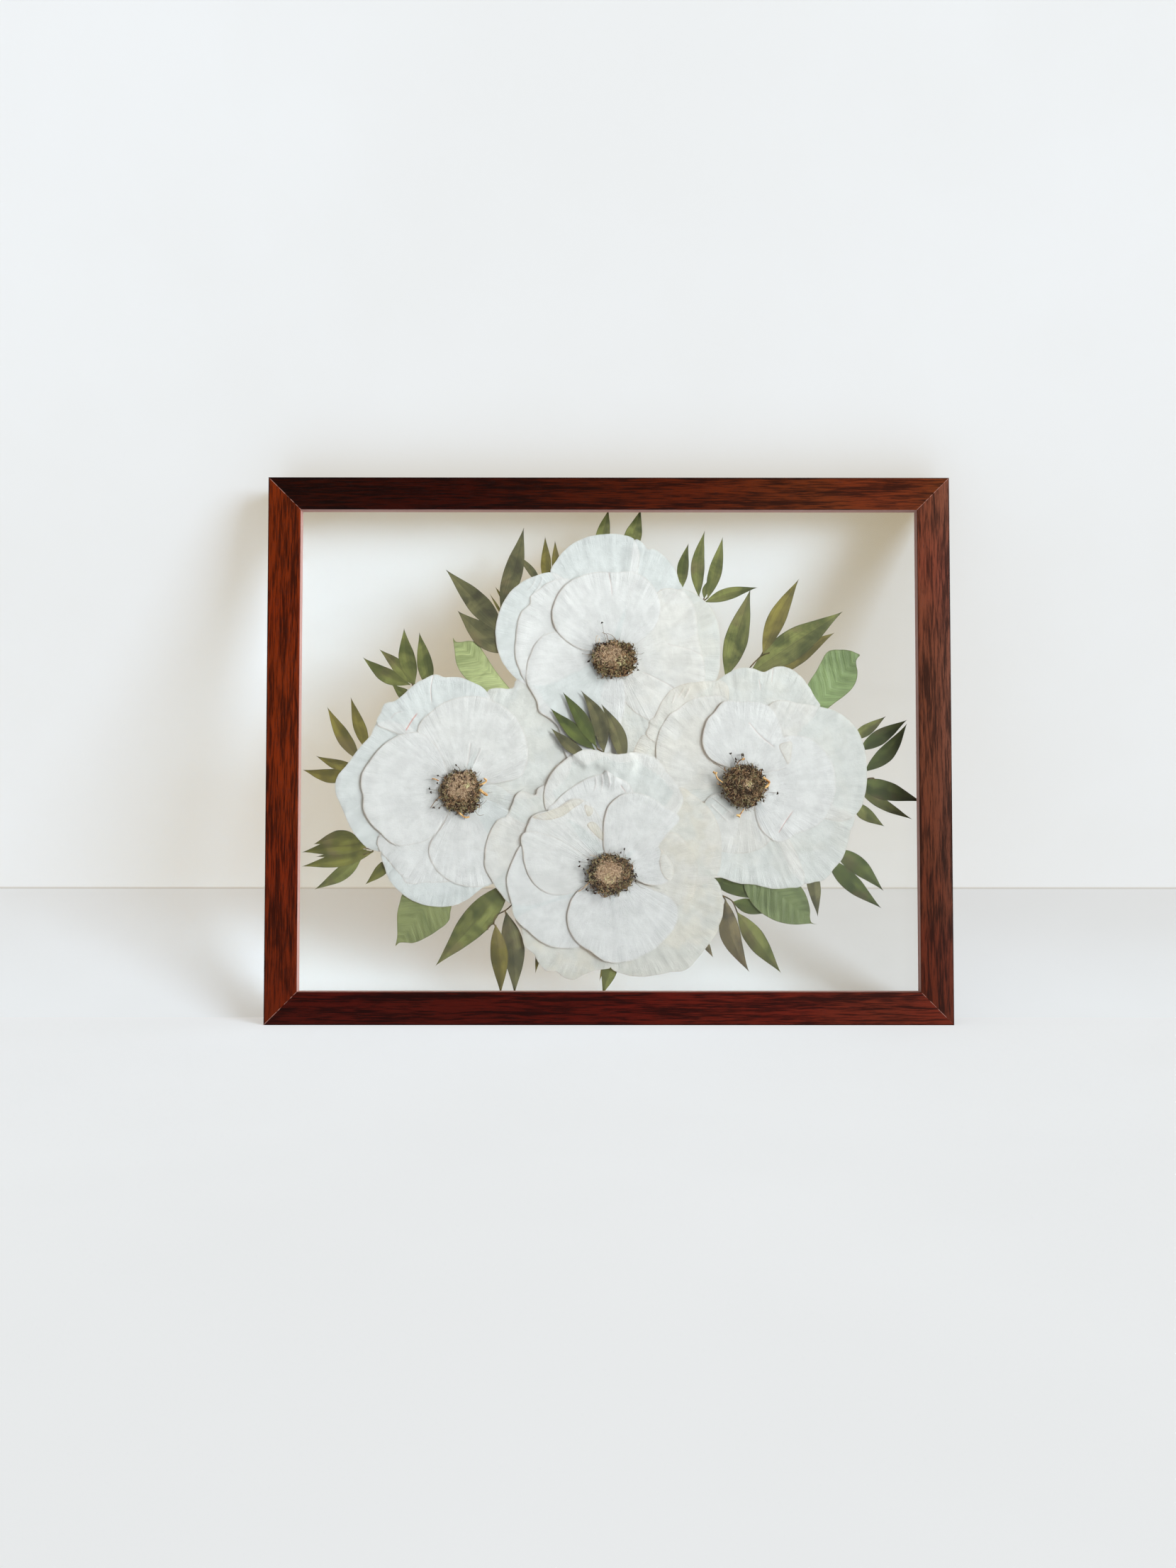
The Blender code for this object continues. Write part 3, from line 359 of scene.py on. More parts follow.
def smooth_path(points: Sequence[Point], step: float) -> list[Point]:
    """Return points along a smooth open curve through the given points, a step apart."""
    knots = [Vector(point) for point in points]
    knots = [knots[0] * 2 - knots[1]] + knots + [knots[-1] * 2 - knots[-2]]
    result: list[Point] = []
    for a, b, c, d in zip(knots, knots[1:], knots[2:], knots[3:]):
        count = max(2, round((c - b).length / step))
        for index in range(count):
            t = index / count
            place = 0.5 * (2 * b + (c - a) * t + (2 * a - 5 * b + 4 * c - d) * t ** 2
                           + (3 * b - a - 3 * c + d) * t ** 3)
            result.append((place.x, place.y))
    result.append(tuple(knots[-2]))
    return result


# How an outline is filled: the spacing of the rows and the room left at the rim, both in pitches, the
# room round an extra point in millimetres, and how many places are measured at a time.
ROW_SPACING = 0.866
RIM_ROOM = 0.6
POINT_ROOM = 0.45
BLOCK = 1000
# Vertices nearer than this are one, and a flat face lies within this of its level, both in metres.
SAME_PLACE = 1e-6
SAME_LEVEL = 2e-6


class Outline:
    """A closed outline in the plane of the glass, in millimetres."""

    def __init__(self, points: Array) -> None:
        """Keep the points, turned to run anticlockwise as seen from the front."""
        x, z = points[:, 0], points[:, 1]
        area = float(np.sum(x * np.roll(z, -1) - np.roll(x, -1) * z))
        self.points = points if area > 0 else points[::-1].copy()
        self.low = self.points.min(axis=0)
        self.high = self.points.max(axis=0)

    def rounded(self, step: float) -> "Outline":
        """Return the outline as a smooth curve through its points, with points a step apart."""
        p = self.points
        before, after, later = np.roll(p, 1, axis=0), np.roll(p, -1, axis=0), np.roll(p, -2, axis=0)
        fine = []
        for t in np.linspace(0.0, 1.0, 8, endpoint=False):
            fine.append(0.5 * (2 * p + (after - before) * t
                               + (2 * before - 5 * p + 4 * after - later) * t ** 2
                               + (3 * p - before - 3 * after + later) * t ** 3))
        dense = np.stack(fine, axis=1).reshape(-1, 2)
        closed = np.vstack([dense, dense[:1]])
        run = np.concatenate([[0.0], np.cumsum(np.linalg.norm(np.diff(closed, axis=0), axis=1))])
        marks = np.linspace(0.0, run[-1], max(12, int(run[-1] / step)), endpoint=False)
        return Outline(np.column_stack([np.interp(marks, run, closed[:, axis]) for axis in (0, 1)]))

    def holds(self, places: Array) -> Array:
        """Return for each place whether it lies inside the outline."""
        inside = np.zeros(len(places), dtype=bool)
        near = np.all((places > self.low) & (places < self.high), axis=1)
        x, z = places[near, 0][:, None], places[near, 1][:, None]
        ax, az = self.points[:, 0], self.points[:, 1]
        bx, bz = np.roll(ax, -1), np.roll(az, -1)
        with np.errstate(divide="ignore", invalid="ignore"):
            crosses = ((az > z) != (bz > z)) & (x < (bx - ax) * (z - az) / (bz - az) + ax)
        inside[near] = crosses.sum(axis=1) % 2 == 1
        return inside

    def distance(self, places: Array) -> Array:
        """Return for each place its distance to the outline."""
        a = self.points
        run = np.roll(a, -1, axis=0) - a
        length = np.maximum((run ** 2).sum(axis=1), 1e-12)
        result = np.empty(len(places))
        for start in range(0, len(places), BLOCK):
            block = places[start:start + BLOCK][:, None, :] - a[None]
            t = np.clip((block * run[None]).sum(axis=2) / length, 0.0, 1.0)
            gap = block - t[..., None] * run[None]
            result[start:start + BLOCK] = np.sqrt((gap ** 2).sum(axis=2).min(axis=1))
        return result

    def filled(self, pitch: float, extra: Array | None = None
               ) -> tuple[Array, list[tuple[int, ...]]]:
        """Fill the outline with even triangles.

        Args:
            pitch: The spacing of the points inside, in millimetres.
            extra: More points inside it, round which the even ones make room.

        Returns:
            The points, the outline's own first and then the extra ones, and the triangles.
        """
        extra = np.empty((0, 2)) if extra is None else extra
        rows = np.arange(self.low[1], self.high[1], pitch * ROW_SPACING)
        places = []
        for index, z in enumerate(rows):
            xs = np.arange(self.low[0] + pitch / 2 * (index % 2), self.high[0], pitch)
            places.append(np.column_stack([xs, np.full(len(xs), z)]))
        grid = np.vstack(places)
        grid = grid[self.holds(grid)]
        grid = grid[self.distance(grid) > pitch * RIM_ROOM]
        for place in extra:
            grid = grid[np.hypot(*(grid - place).T) > POINT_ROOM]
        points = np.vstack([self.points, extra, grid])
        count = len(self.points)
        edges = [(index, (index + 1) % count) for index in range(count)]
        filled = delaunay_2d_cdt([Vector(point) for point in points], edges, [], 1, 1e-6)
        return np.array([tuple(point) for point in filled[0]]), [tuple(face) for face in filled[2]]


def face_outline(node: str, rear: bool = False) -> tuple[Outline, float]:
    """Read the outline of a CAD solid's foremost or rearmost flat face.

    Args:
        node: The solid's name.
        rear: Whether the rear face is wanted.

    Returns:
        The outline, and the depth of the face in millimetres.
    """
    shape = bmesh.new()
    shape.from_mesh(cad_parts[node].data)
    bmesh.ops.remove_doubles(shape, verts=shape.verts, dist=SAME_PLACE)
    depths = [vert.co.y for vert in shape.verts]
    level = max(depths) if rear else min(depths)
    flat = {face for face in shape.faces if all(abs(vert.co.y - level) < SAME_LEVEL for vert in face.verts)}
    following: dict[int, list[int]] = {}
    places = {vert.index: (vert.co.x / MM, vert.co.z / MM - HALF_HEIGHT) for vert in shape.verts}
    for edge in shape.edges:
        if sum(face in flat for face in edge.link_faces) == 1:
            a, b = edge.verts[0].index, edge.verts[1].index
            following.setdefault(a, []).append(b)
            following.setdefault(b, []).append(a)
    start = next(iter(following))
    walk = [start, following[start][0]]
    while True:
        ahead = [index for index in following[walk[-1]] if index != walk[-2]]
        if ahead[0] == start:
            break
        walk.append(ahead[0])
    outline = Outline(np.array([places[index] for index in walk]))
    shape.free()
    return outline, level / MM + FRAME_DEPTH / 2


# --- shader bench ----------------------------------------------------------------------------------


# A Mix node's share and its two colours, and its colour result, among its sockets for all kinds.
MIX_INPUTS = (0, 6, 7)
MIX_OUTPUT = 2
# The tint of the light that a thin dried sheet lets into its own shadow.
SHADOW_LIGHT = (1.0, 0.80, 0.60)


class Bench:
    """Places and links shader nodes in one node tree.

    In the finishes, a grain's numbers are its scale, detail, roughness and distortion, and a span's are the
    range it reads and the range it gives. Lengths in them are metres, but those to an edge are millimetres.
    """

    def __init__(self, tree: NodeTree) -> None:
        """Keep the tree that the nodes go into."""
        self.tree = tree

    def put(self, kind: str, **settings: object) -> Node:
        """Add a node of a kind and give it its settings."""
        node = self.tree.nodes.new(kind)
        for name, value in settings.items():
            setattr(node, name, value)
        return node

    def feed(self, socket: Socket, value: object) -> None:
        """Link another socket into this one, or set its value."""
        if isinstance(value, bpy.types.NodeSocket):
            self.tree.links.new(value, socket)
        elif isinstance(value, tuple) and len(value) == 3 and socket.type == "RGBA":
            socket.default_value = (*value, 1.0)
        else:
            socket.default_value = value

    def reckon(self, operation: str, a: object, b: object = 0.0) -> Socket:
        """Return the result of a Math node."""
        node = self.put("ShaderNodeMath", operation=operation)
        self.feed(node.inputs[0], a)
        self.feed(node.inputs[1], b)
        return node.outputs[0]

    def times(self, a: object, b: object) -> Socket:
        """Return the product of two values."""
        return self.reckon("MULTIPLY", a, b)

    def plus(self, a: object, b: object) -> Socket:
        """Return the sum of two values."""
        return self.reckon("ADD", a, b)

    def minus(self, a: object, b: object) -> Socket:
        """Return the difference of two values."""
        return self.reckon("SUBTRACT", a, b)

    def size_of(self, a: object) -> Socket:
        """Return a value without its sign."""
        return self.reckon("ABSOLUTE", a)

    def span(self, value: object, low: float, high: float, to_low: object = 0.0,
             to_high: object = 1.0) -> Socket:
        """Return a value mapped smoothly from one range to another, and clamped."""
        node = self.put("ShaderNodeMapRange", interpolation_type="SMOOTHSTEP")
        for socket, given in zip(node.inputs, (value, low, high, to_low, to_high)):
            self.feed(socket, given)
        return node.outputs[0]

    def tinted(self, colour: object, tint: object) -> Socket:
        """Return a colour multiplied by another one or by a number."""
        return self.blend(1.0, colour, tint, "MULTIPLY")

    def blend(self, share: object, a: object, b: object, kind: str = "MIX") -> Socket:
        """Return two colours mixed by a share from 0 to 1."""
        node = self.put("ShaderNodeMix", data_type="RGBA", blend_type=kind)
        for number, given in zip(MIX_INPUTS, (share, a, b)):
            self.feed(node.inputs[number], given)
        return node.outputs[MIX_OUTPUT]

    def mixed(self, share: object, a: Socket, b: Socket) -> Socket:
        """Return two shaders mixed by a share from 0 to 1."""
        node = self.put("ShaderNodeMixShader")
        for socket, given in zip(node.inputs, (share, a, b)):
            self.feed(socket, given)
        return node.outputs[0]

    def wear(self, result: Socket, name: str = "Surface") -> None:
        """Make a shader the material's surface, or its volume."""
        self.feed(self.tree.nodes["Material Output"].inputs[name], result)

    def fill(self, node: Node, *values: tuple[str, object]) -> Node:
        """Feed a node's inputs, each given by its name and its value."""
        for name, value in values:
            self.feed(node.inputs[name], value)
        return node

    def clear(self, colour: Colour = (1.0, 1.0, 1.0)) -> Socket:
        """Return a shader that lets light straight through."""
        return self.fill(self.put("ShaderNodeBsdfTransparent"), ("Color", colour)).outputs[0]

    def ramp(self, value: object, *stops: tuple[float, Colour]) -> Socket:
        """Return the colour that a row of stops gives for a value."""
        node = self.put("ShaderNodeValToRGB")
        elements = node.color_ramp.elements
        for _ in stops[2:]:
            elements.new(0.5)
        for element, (place, colour) in zip(elements, stops):
            element.position = place
            element.color = (*colour, 1.0)
        self.feed(node.inputs[0], value)
        return node.outputs[0]

    def grain(self, vector: Socket, scale: float, detail: float = 3.0, rough: float = 0.5,
              twist: float = 0.0) -> Socket:
        """Return noise over a vector."""
        noise_node = self.fill(self.put("ShaderNodeTexNoise"), ("Vector", vector), ("Scale", scale),
                               ("Detail", detail), ("Roughness", rough), ("Distortion", twist))
        return noise_node.outputs["Fac"]

    def stretched(self, vector: Socket, scale: Triple, turn: Triple = (0.0, 0.0, 0.0),
                  shift: Triple = (0.0, 0.0, 0.0)) -> Socket:
        """Return a vector moved, turned and scaled by a Mapping node."""
        return self.fill(self.put("ShaderNodeMapping"), ("Vector", vector), ("Location", shift),
                         ("Rotation", turn), ("Scale", scale)).outputs[0]

    def place(self, output: str = "Object") -> Socket:
        """Return the piece's own coordinates."""
        return self.put("ShaderNodeTexCoord").outputs[output]

    def axes(self, vector: Socket) -> tuple[Socket, Socket, Socket]:
        """Return the three numbers of a vector."""
        node = self.put("ShaderNodeSeparateXYZ")
        self.feed(node.inputs[0], vector)
        return node.outputs[0], node.outputs[1], node.outputs[2]

    def vector(self, x: object, y: object, z: object = 0.0) -> Socket:
        """Return a vector made of three numbers."""
        node = self.put("ShaderNodeCombineXYZ")
        for socket, given in zip(node.inputs, (x, y, z)):
            self.feed(socket, given)
        return node.outputs[0]

    def value_of(self, name: str) -> Socket:
        """Return the number that a piece stores under a name."""
        return self.put("ShaderNodeAttribute", attribute_name=name).outputs["Fac"]

    def relief(self, height: Socket, depth: float, strength: float) -> Socket:
        """Return the normal of a surface with a height pattern of some metres' depth."""
        return self.fill(self.put("ShaderNodeBump"), ("Height", height), ("Distance", depth),
                         ("Strength", strength)).outputs[0]

    def use(self, group: NodeTree, **values: object) -> Node:
        """Place a node group and feed its inputs by name."""
        rows = ((name.capitalize(), value) for name, value in values.items())
        return self.fill(self.put("ShaderNodeGroup", node_tree=group), *rows)


def new_finish(name: str) -> tuple[Material, Bench, Node]:
    """Start a material.

    Args:
        name: The finish's name.

    Returns:
        The material, a bench for its nodes, and its Principled shader.
    """
    material = bpy.data.materials.new(name)
    material.use_nodes = True
    return material, Bench(material.node_tree), material.node_tree.nodes["Principled BSDF"]


def coat(bench: Bench, shader: Node, colour: Socket, roughness: Socket, normal: Socket,
         gloss: float = 0.5) -> None:
    """Give a shader its colour, its roughness, its relief and its specular level."""
    bench.fill(shader, ("Base Color", colour), ("Roughness", roughness), ("Normal", normal),
               ("Specular IOR Level", gloss))


def new_group(name: str, takes: Sequence[tuple[str, str]], gives: Sequence[tuple[str, str]]
              ) -> tuple[NodeTree, Bench, Node, Node]:
    """Start a node group with named sockets.

    Args:
        name: The effect's name.
        takes: Its inputs as (name, socket type).
        gives: Its outputs as (name, socket type).

    Returns:
        The group, a bench for its nodes, and its input and output nodes.
    """
    tree = bpy.data.node_groups.new(name, "ShaderNodeTree")
    for direction, sockets in (("INPUT", takes), ("OUTPUT", gives)):
        for label, kind in sockets:
            tree.interface.new_socket(name=label, in_out=direction, socket_type=kind)
    bench = Bench(tree)
    return tree, bench, bench.put("NodeGroupInput"), bench.put("NodeGroupOutput")


NUMBER = "NodeSocketFloat"
VECTOR = "NodeSocketVector"


def grain_group() -> NodeTree:
    """Build the straight grain of a rail: long streaks, fine pores and their height."""
    tree, bench, given, out = new_group("Straight grain", [("Vector", VECTOR)],
                                        [("Streak", NUMBER), ("Pore", NUMBER), ("Height", NUMBER)])
    vector = given.outputs["Vector"]
    broad = bench.grain(bench.stretched(vector, (16.0, 230.0, 230.0)), 1.0, 3.0, 0.55, 0.25)
    fine = bench.grain(bench.stretched(vector, (70.0, 1100.0, 1100.0)), 1.0, 3.0, 0.6, 0.1)
    hair = bench.grain(bench.stretched(vector, (190.0, 3600.0, 3600.0)), 1.0, 2.0, 0.6)
    streak = bench.plus(bench.times(broad, 0.45), bench.times(fine, 0.55))
    bench.feed(out.inputs["Streak"], bench.span(streak, 0.36, 0.64))
    pore = bench.span(hair, 0.56, 0.68)
    bench.feed(out.inputs["Pore"], pore)
    bench.feed(out.inputs["Height"], bench.minus(bench.times(fine, 0.4), pore))
    return tree


def edge_group() -> NodeTree:
    """Build the masks of the frame's pale mitre lines, of its outer arris, darkened as painted shade, and of
    its inner lip, lightened as a painted highlight.
    """
    tree, bench, given, out = new_group("Frame edges", [("Vector", VECTOR)],
                                        [("Mitre", NUMBER), ("Arris", NUMBER), ("Lip highlight", NUMBER)])
    x, y, z = bench.axes(given.outputs["Vector"])
    from_side = bench.minus(HALF_WIDTH * MM, bench.size_of(x))
    from_end = bench.minus(HALF_HEIGHT * MM, bench.size_of(bench.minus(z, HALF_HEIGHT * MM)))
    from_mitre = bench.size_of(bench.minus(from_side, from_end))
    patchy = bench.span(bench.grain(given.outputs["Vector"], 420.0, 2.0), 0.38, 0.6)
    line = bench.span(from_mitre, 0.00012, 0.00034, 1.0, 0.0)
    bench.feed(out.inputs["Mitre"], bench.times(line, patchy))
    from_edge = bench.reckon("MINIMUM", from_side, from_end)
    # Painted shade: the outer arris is darkened along its rounding.
    bench.feed(out.inputs["Arris"], bench.span(from_edge, 0.0002, 0.0010, 1.0, 0.0))
    # Painted highlight: the inner lip is picked out to be painted pale pink.
    inner = bench.span(from_edge, 0.01795, 0.01815)
    fore = bench.span(y, -0.0122, -0.0116)
    bench.feed(out.inputs["Lip highlight"], bench.times(inner, fore))
    return tree


# --- finishes --------------------------------------------------------------------------------------

# The specular level of varnish and dried matter without gloss.
MATT = 0.06


@dataclass(frozen=True)
class StainedWood:
    """The stained, satin-varnished wood of one rail, with its colours from one end to the other: partly the
    stain's own tone and partly painted sheen, lighter and hazier where the varnish faces the bright right
    side of the room.
    """

    name: str
    upright: bool
    shift: float
    stops: Stops

    def build(self, grain: NodeTree, edges: NodeTree) -> Material:
        """Build the material.

        Args:
            grain: The straight-grain group.
            edges: The group of the frame's edge masks.

        Returns:
            The finished material.
        """
        material, bench, shader = new_finish(self.name)
        place = bench.place()
        x, y, z = bench.axes(place)
        along, across = (z, x) if self.upright else (x, z)
        reach = HALF_HEIGHT if self.upright else HALF_WIDTH
        start = 0.0 if self.upright else reach * MM
        run = bench.reckon("DIVIDE", bench.plus(along, start), 2 * reach * MM)
        lay = bench.use(grain, vector=bench.vector(bench.plus(along, self.shift), y, across))
        edge = bench.use(edges, vector=place)
        # The ramp holds the stain's tone and painted sheen: lighter towards the bright side, and hazier on
        # the right rail.
        stain = bench.ramp(run, *self.stops)
        warm = bench.grain(bench.stretched(place, (14.0, 60.0, 14.0)), 1.0, 2.0)
        stain = bench.blend(bench.span(warm, 0.42, 0.66, 0.0, 0.5), stain,
                            bench.tinted(stain, (1.15, 0.72, 0.8)))
        tone = bench.span(lay.outputs["Streak"], 0.0, 1.0, 0.3, 1.38)
        stain = bench.tinted(stain, tone)
        # Pores darken the grain and the mitres get pale lines; the dark arris is painted shade and the pale
        # pink inner lip a painted highlight.
        for mask, share, colour in ((lay.outputs["Pore"], 0.5, (0.010, 0.004, 0.003)),
                                    (edge.outputs["Arris"], 0.8, (0.006, 0.002, 0.002)),
                                    (edge.outputs["Mitre"], 0.6, (0.50, 0.27, 0.22)),
                                    (edge.outputs["Lip highlight"], 1.0, (0.46, 0.27, 0.24))):
            stain = bench.blend(bench.times(mask, share), stain, colour)
        coat(bench, shader, stain, bench.span(lay.outputs["Streak"], 0.0, 1.0, 0.5, 0.36),
             bench.relief(lay.outputs["Height"], 0.00008, 0.6), MATT)
        return material


@dataclass(frozen=True)
class ClearGlass:
    """Clear picture glass of low glare, with faint wipe marks."""

    name: str
    shift: float
    clean: Colour
    wiped: Colour

    def build(self) -> Material:
        """Build the material: glass to the eye, and open to the light that falls through it."""
        material, bench, shader = new_finish(self.name)
        place = bench.stretched(bench.place(), (9.0, 9.0, 26.0), (0.0, 0.5, 0.0), (self.shift, 0.0, 0.0))
        wipe = bench.span(bench.grain(place, 1.0, 4.0, 0.6, 0.6), 0.5, 0.75)
        bench.fill(shader, ("Base Color", bench.blend(wipe, self.clean, self.wiped)),
                   ("Roughness", bench.span(wipe, 0.0, 1.0, 0.0, 0.012)), ("Transmission Weight", 1.0),
                   ("IOR", 1.5), ("Specular IOR Level", 0.05), ("Specular Tint", (0.22, 0.22, 0.22)))
        in_shadow = bench.put("ShaderNodeLightPath").outputs["Is Shadow Ray"]
        bench.wear(bench.mixed(in_shadow, shader.outputs[0], bench.clear((0.97, 0.975, 0.97))))
        volume = bench.fill(bench.put("ShaderNodeVolumeAbsorption"), ("Color", (0.8, 0.94, 0.88)),
                            ("Density", 3.0))
        bench.wear(volume.outputs[0], "Volume")
        return material


def let_light_through(bench: Bench, shader: Node, colour: Socket, share: float,
                      thin: float = 0.15) -> None:
    """Mix a Principled shader with light that shines through a thin sheet from behind.

    Args:
        bench: The material's bench.
        shader: Its Principled shader.
        colour: The colour of the sheet.
        share: How much of the surface glows with light from behind.
        thin: How much light the sheet lets into its own shadow.
    """
    through = bench.fill(bench.put("ShaderNodeBsdfTranslucent"), ("Color", colour))
    lit = bench.mixed(share, shader.outputs[0], through.outputs[0])
    in_shadow = bench.put("ShaderNodeLightPath").outputs["Is Shadow Ray"]
    bench.wear(bench.mixed(bench.times(in_shadow, thin), lit, bench.clear(SHADOW_LIGHT)))


@dataclass(frozen=True)
class DriedPetal:
    """White petal tissue: cool where it is single, creamier where more of it lies behind."""

    cool: Colour = (0.508, 0.535, 0.528)
    plain: Colour = (0.548, 0.556, 0.548)
    cream: Colour = (0.530, 0.508, 0.440)
    vein: Colour = (0.25, 0.24, 0.24)
    # The brown of the dried rim, which also carries the painted shadow at rims turned from the light.
    rim: Colour = (0.33, 0.235, 0.155)
    # The reddish-brown colour of the painted shade along the creases.
    stain: Colour = (0.48, 0.22, 0.18)

    def build(self) -> Material:
        """Build the material from the petal's own coordinates and stored numbers."""
        material, bench, shader = new_finish("dried_petal")
        turn, reach, _ = bench.axes(bench.place("UV"))
        place = bench.place()
        cover, edge = bench.value_of("petal_cover"), bench.value_of("petal_edge")
        tissue = bench.blend(bench.span(cover, 0.0, 1.2), self.cool, self.plain)
        cloud = bench.span(bench.grain(place, 55.0, 3.0, 0.55), 0.42, 0.62)
        creamy = bench.times(bench.value_of("petal_cream"), bench.span(cloud, 0.0, 1.0, 0.6, 1.0))
        tissue = bench.blend(creamy, tissue, self.cream)
        streak = bench.vector(bench.times(turn, 8.0), bench.times(reach, 60.0), cover)
        haze = bench.plus(bench.times(bench.grain(place, 120.0, 5.0, 0.6, 0.4), 0.72),
                          bench.times(bench.grain(streak, 1.0, 4.0, 0.6, 0.6), 0.28))
        haze = bench.span(haze, 0.38, 0.62, 0.93, 1.05)
        tissue = bench.tinted(tissue, haze)
        # Painted shade: the tissue is painted darker towards the bottom of the frame, where the light falls
        # off.
        tissue = bench.tinted(tissue, bench.span(bench.axes(place)[2], 0.03, 0.27, 0.90, 1.01))
        line = bench.reckon("MAXIMUM", self.lines(bench, turn, reach, 26.0, 60.0, 0.022),
                            bench.times(self.lines(bench, turn, reach, 60.0, 110.0, 0.030), 0.6))
        fade = bench.span(reach, 0.012, 0.036, 0.30, 0.03)
        tissue = bench.blend(bench.times(line, fade), tissue, self.vein)
        # The rim is painted brown: a little for the dried edge, and more as painted shadow where it turns
        # from the light.
        brown_rim_and_shade = bench.times(bench.span(edge, 0.08, 0.85, 1.0, 0.0), bench.value_of("petal_shade"))
        tissue = bench.blend(brown_rim_and_shade, tissue, self.rim)
        # Painted shade: the petal is darkened along its creases.
        tissue = bench.blend(bench.value_of("petal_stain"), tissue, self.stain)
        relief = bench.plus(bench.grain(place, 1000.0, 3.0, 0.6),
                            bench.times(bench.grain(place, 260.0, 4.0, 0.6, 0.5), 2.4))
        relief = bench.plus(bench.times(line, bench.times(fade, -2.0)), relief)
        relief = bench.plus(relief, bench.times(self.pleats(bench, turn, reach, cover, edge), 4.2))
        coat(bench, shader, tissue, bench.span(haze, 0.93, 1.05, 0.72, 0.6),
             bench.relief(relief, 0.00010, 0.8), 0.2)
        let_light_through(bench, shader, tissue, 0.2, 0.58)
        return material

    @staticmethod
    def pleats(bench: Bench, turn: Socket, reach: Socket, cover: Socket, edge: Socket) -> Socket:
        """Return the height of the fine pleats, strongest at the rim of a single petal."""
        ray = bench.vector(bench.times(turn, 34.0), bench.times(reach, 45.0), cover)
        outer = bench.times(bench.span(edge, 1.0, 13.0, 1.0, 0.0), bench.span(cover, 0.0, 3.0, 1.0, 0.35))
        return bench.times(bench.grain(ray, 1.0, 3.0, 0.55, 0.2), outer)

    @staticmethod
    def lines(bench: Bench, turn: Socket, reach: Socket, spokes: float, rings: float, width: float) -> Socket:
        """Return hair-fine winding lines that run outwards from the flower's middle."""
        ray = bench.vector(bench.times(turn, spokes), bench.times(reach, rings), turn)
        web = bench.grain(ray, 1.0, 2.0, 0.5, 0.3)
        from_line = bench.size_of(bench.minus(web, 0.5))
        return bench.span(from_line, width * 0.35, width, 1.0, 0.0)


@dataclass(frozen=True)
class DriedLeaf:
    """Pressed slender leaves: olive to brown, with parallel veins and a dark thin rim."""

    rim: Colour = (0.040, 0.034, 0.014)
    bright: Stops = (
        (0.12, (0.148, 0.156, 0.044)), (0.38, (0.172, 0.144, 0.030)), (0.5, (0.080, 0.102, 0.022)),
        (0.72, (0.122, 0.116, 0.050)), (1.0, (0.150, 0.122, 0.058)))
    dull: Stops = (
        (0.12, (0.052, 0.062, 0.015)), (0.38, (0.078, 0.066, 0.014)), (0.5, (0.034, 0.048, 0.010)),
        (0.72, (0.048, 0.046, 0.022)), (1.0, (0.062, 0.052, 0.030)))

    def build(self) -> Material:
        """Build the material from the leaf's UV map and its stored tint."""
        material, bench, shader = new_finish("dried_slender_leaf")
        along, across, _ = bench.axes(bench.place("UV"))
        place = bench.place()
        tint = bench.value_of("leaf_tint")
        patch = bench.span(bench.grain(place, 85.0, 4.0, 0.6, 0.5), 0.32, 0.68)
        leaf = bench.blend(patch, bench.ramp(tint, *self.bright), bench.ramp(tint, *self.dull))
        browned = bench.span(bench.grain(place, 60.0, 3.0), 0.55, 0.68, 0.0, 0.45)
        leaf = bench.blend(browned, leaf, (0.12, 0.090, 0.045))
        lines = bench.vector(bench.times(along, 1.6), bench.times(across, 34.0), tint)
        ribs = bench.grain(lines, 1.0, 2.0, 0.5)
        leaf = bench.tinted(leaf, bench.span(ribs, 0.34, 0.66, 0.84, 1.16))
        # Painted light and shade: one half of the leaf is painted lighter and the other darker, as if lit
        # across the fold of its midrib.
        leaf = bench.tinted(leaf, bench.span(across, 0.44, 0.56, 0.8, 1.15))
        middle = bench.size_of(bench.minus(across, 0.5))
        leaf = bench.blend(bench.span(middle, 0.43, 0.5, 0.0, 0.6), leaf, self.rim)
        leaf = bench.blend(bench.span(middle, 0.004, 0.022, 0.4, 0.0), leaf, self.rim)
        leaf = bench.blend(bench.span(along, 0.9, 1.0, 0.0, 0.6), leaf, self.rim)
        coat(bench, shader, leaf, bench.span(patch, 0.0, 1.0, 0.5, 0.62),
             bench.relief(ribs, 0.00010, 0.6), 0.3)
        let_light_through(bench, shader, leaf, 0.15)
        return material


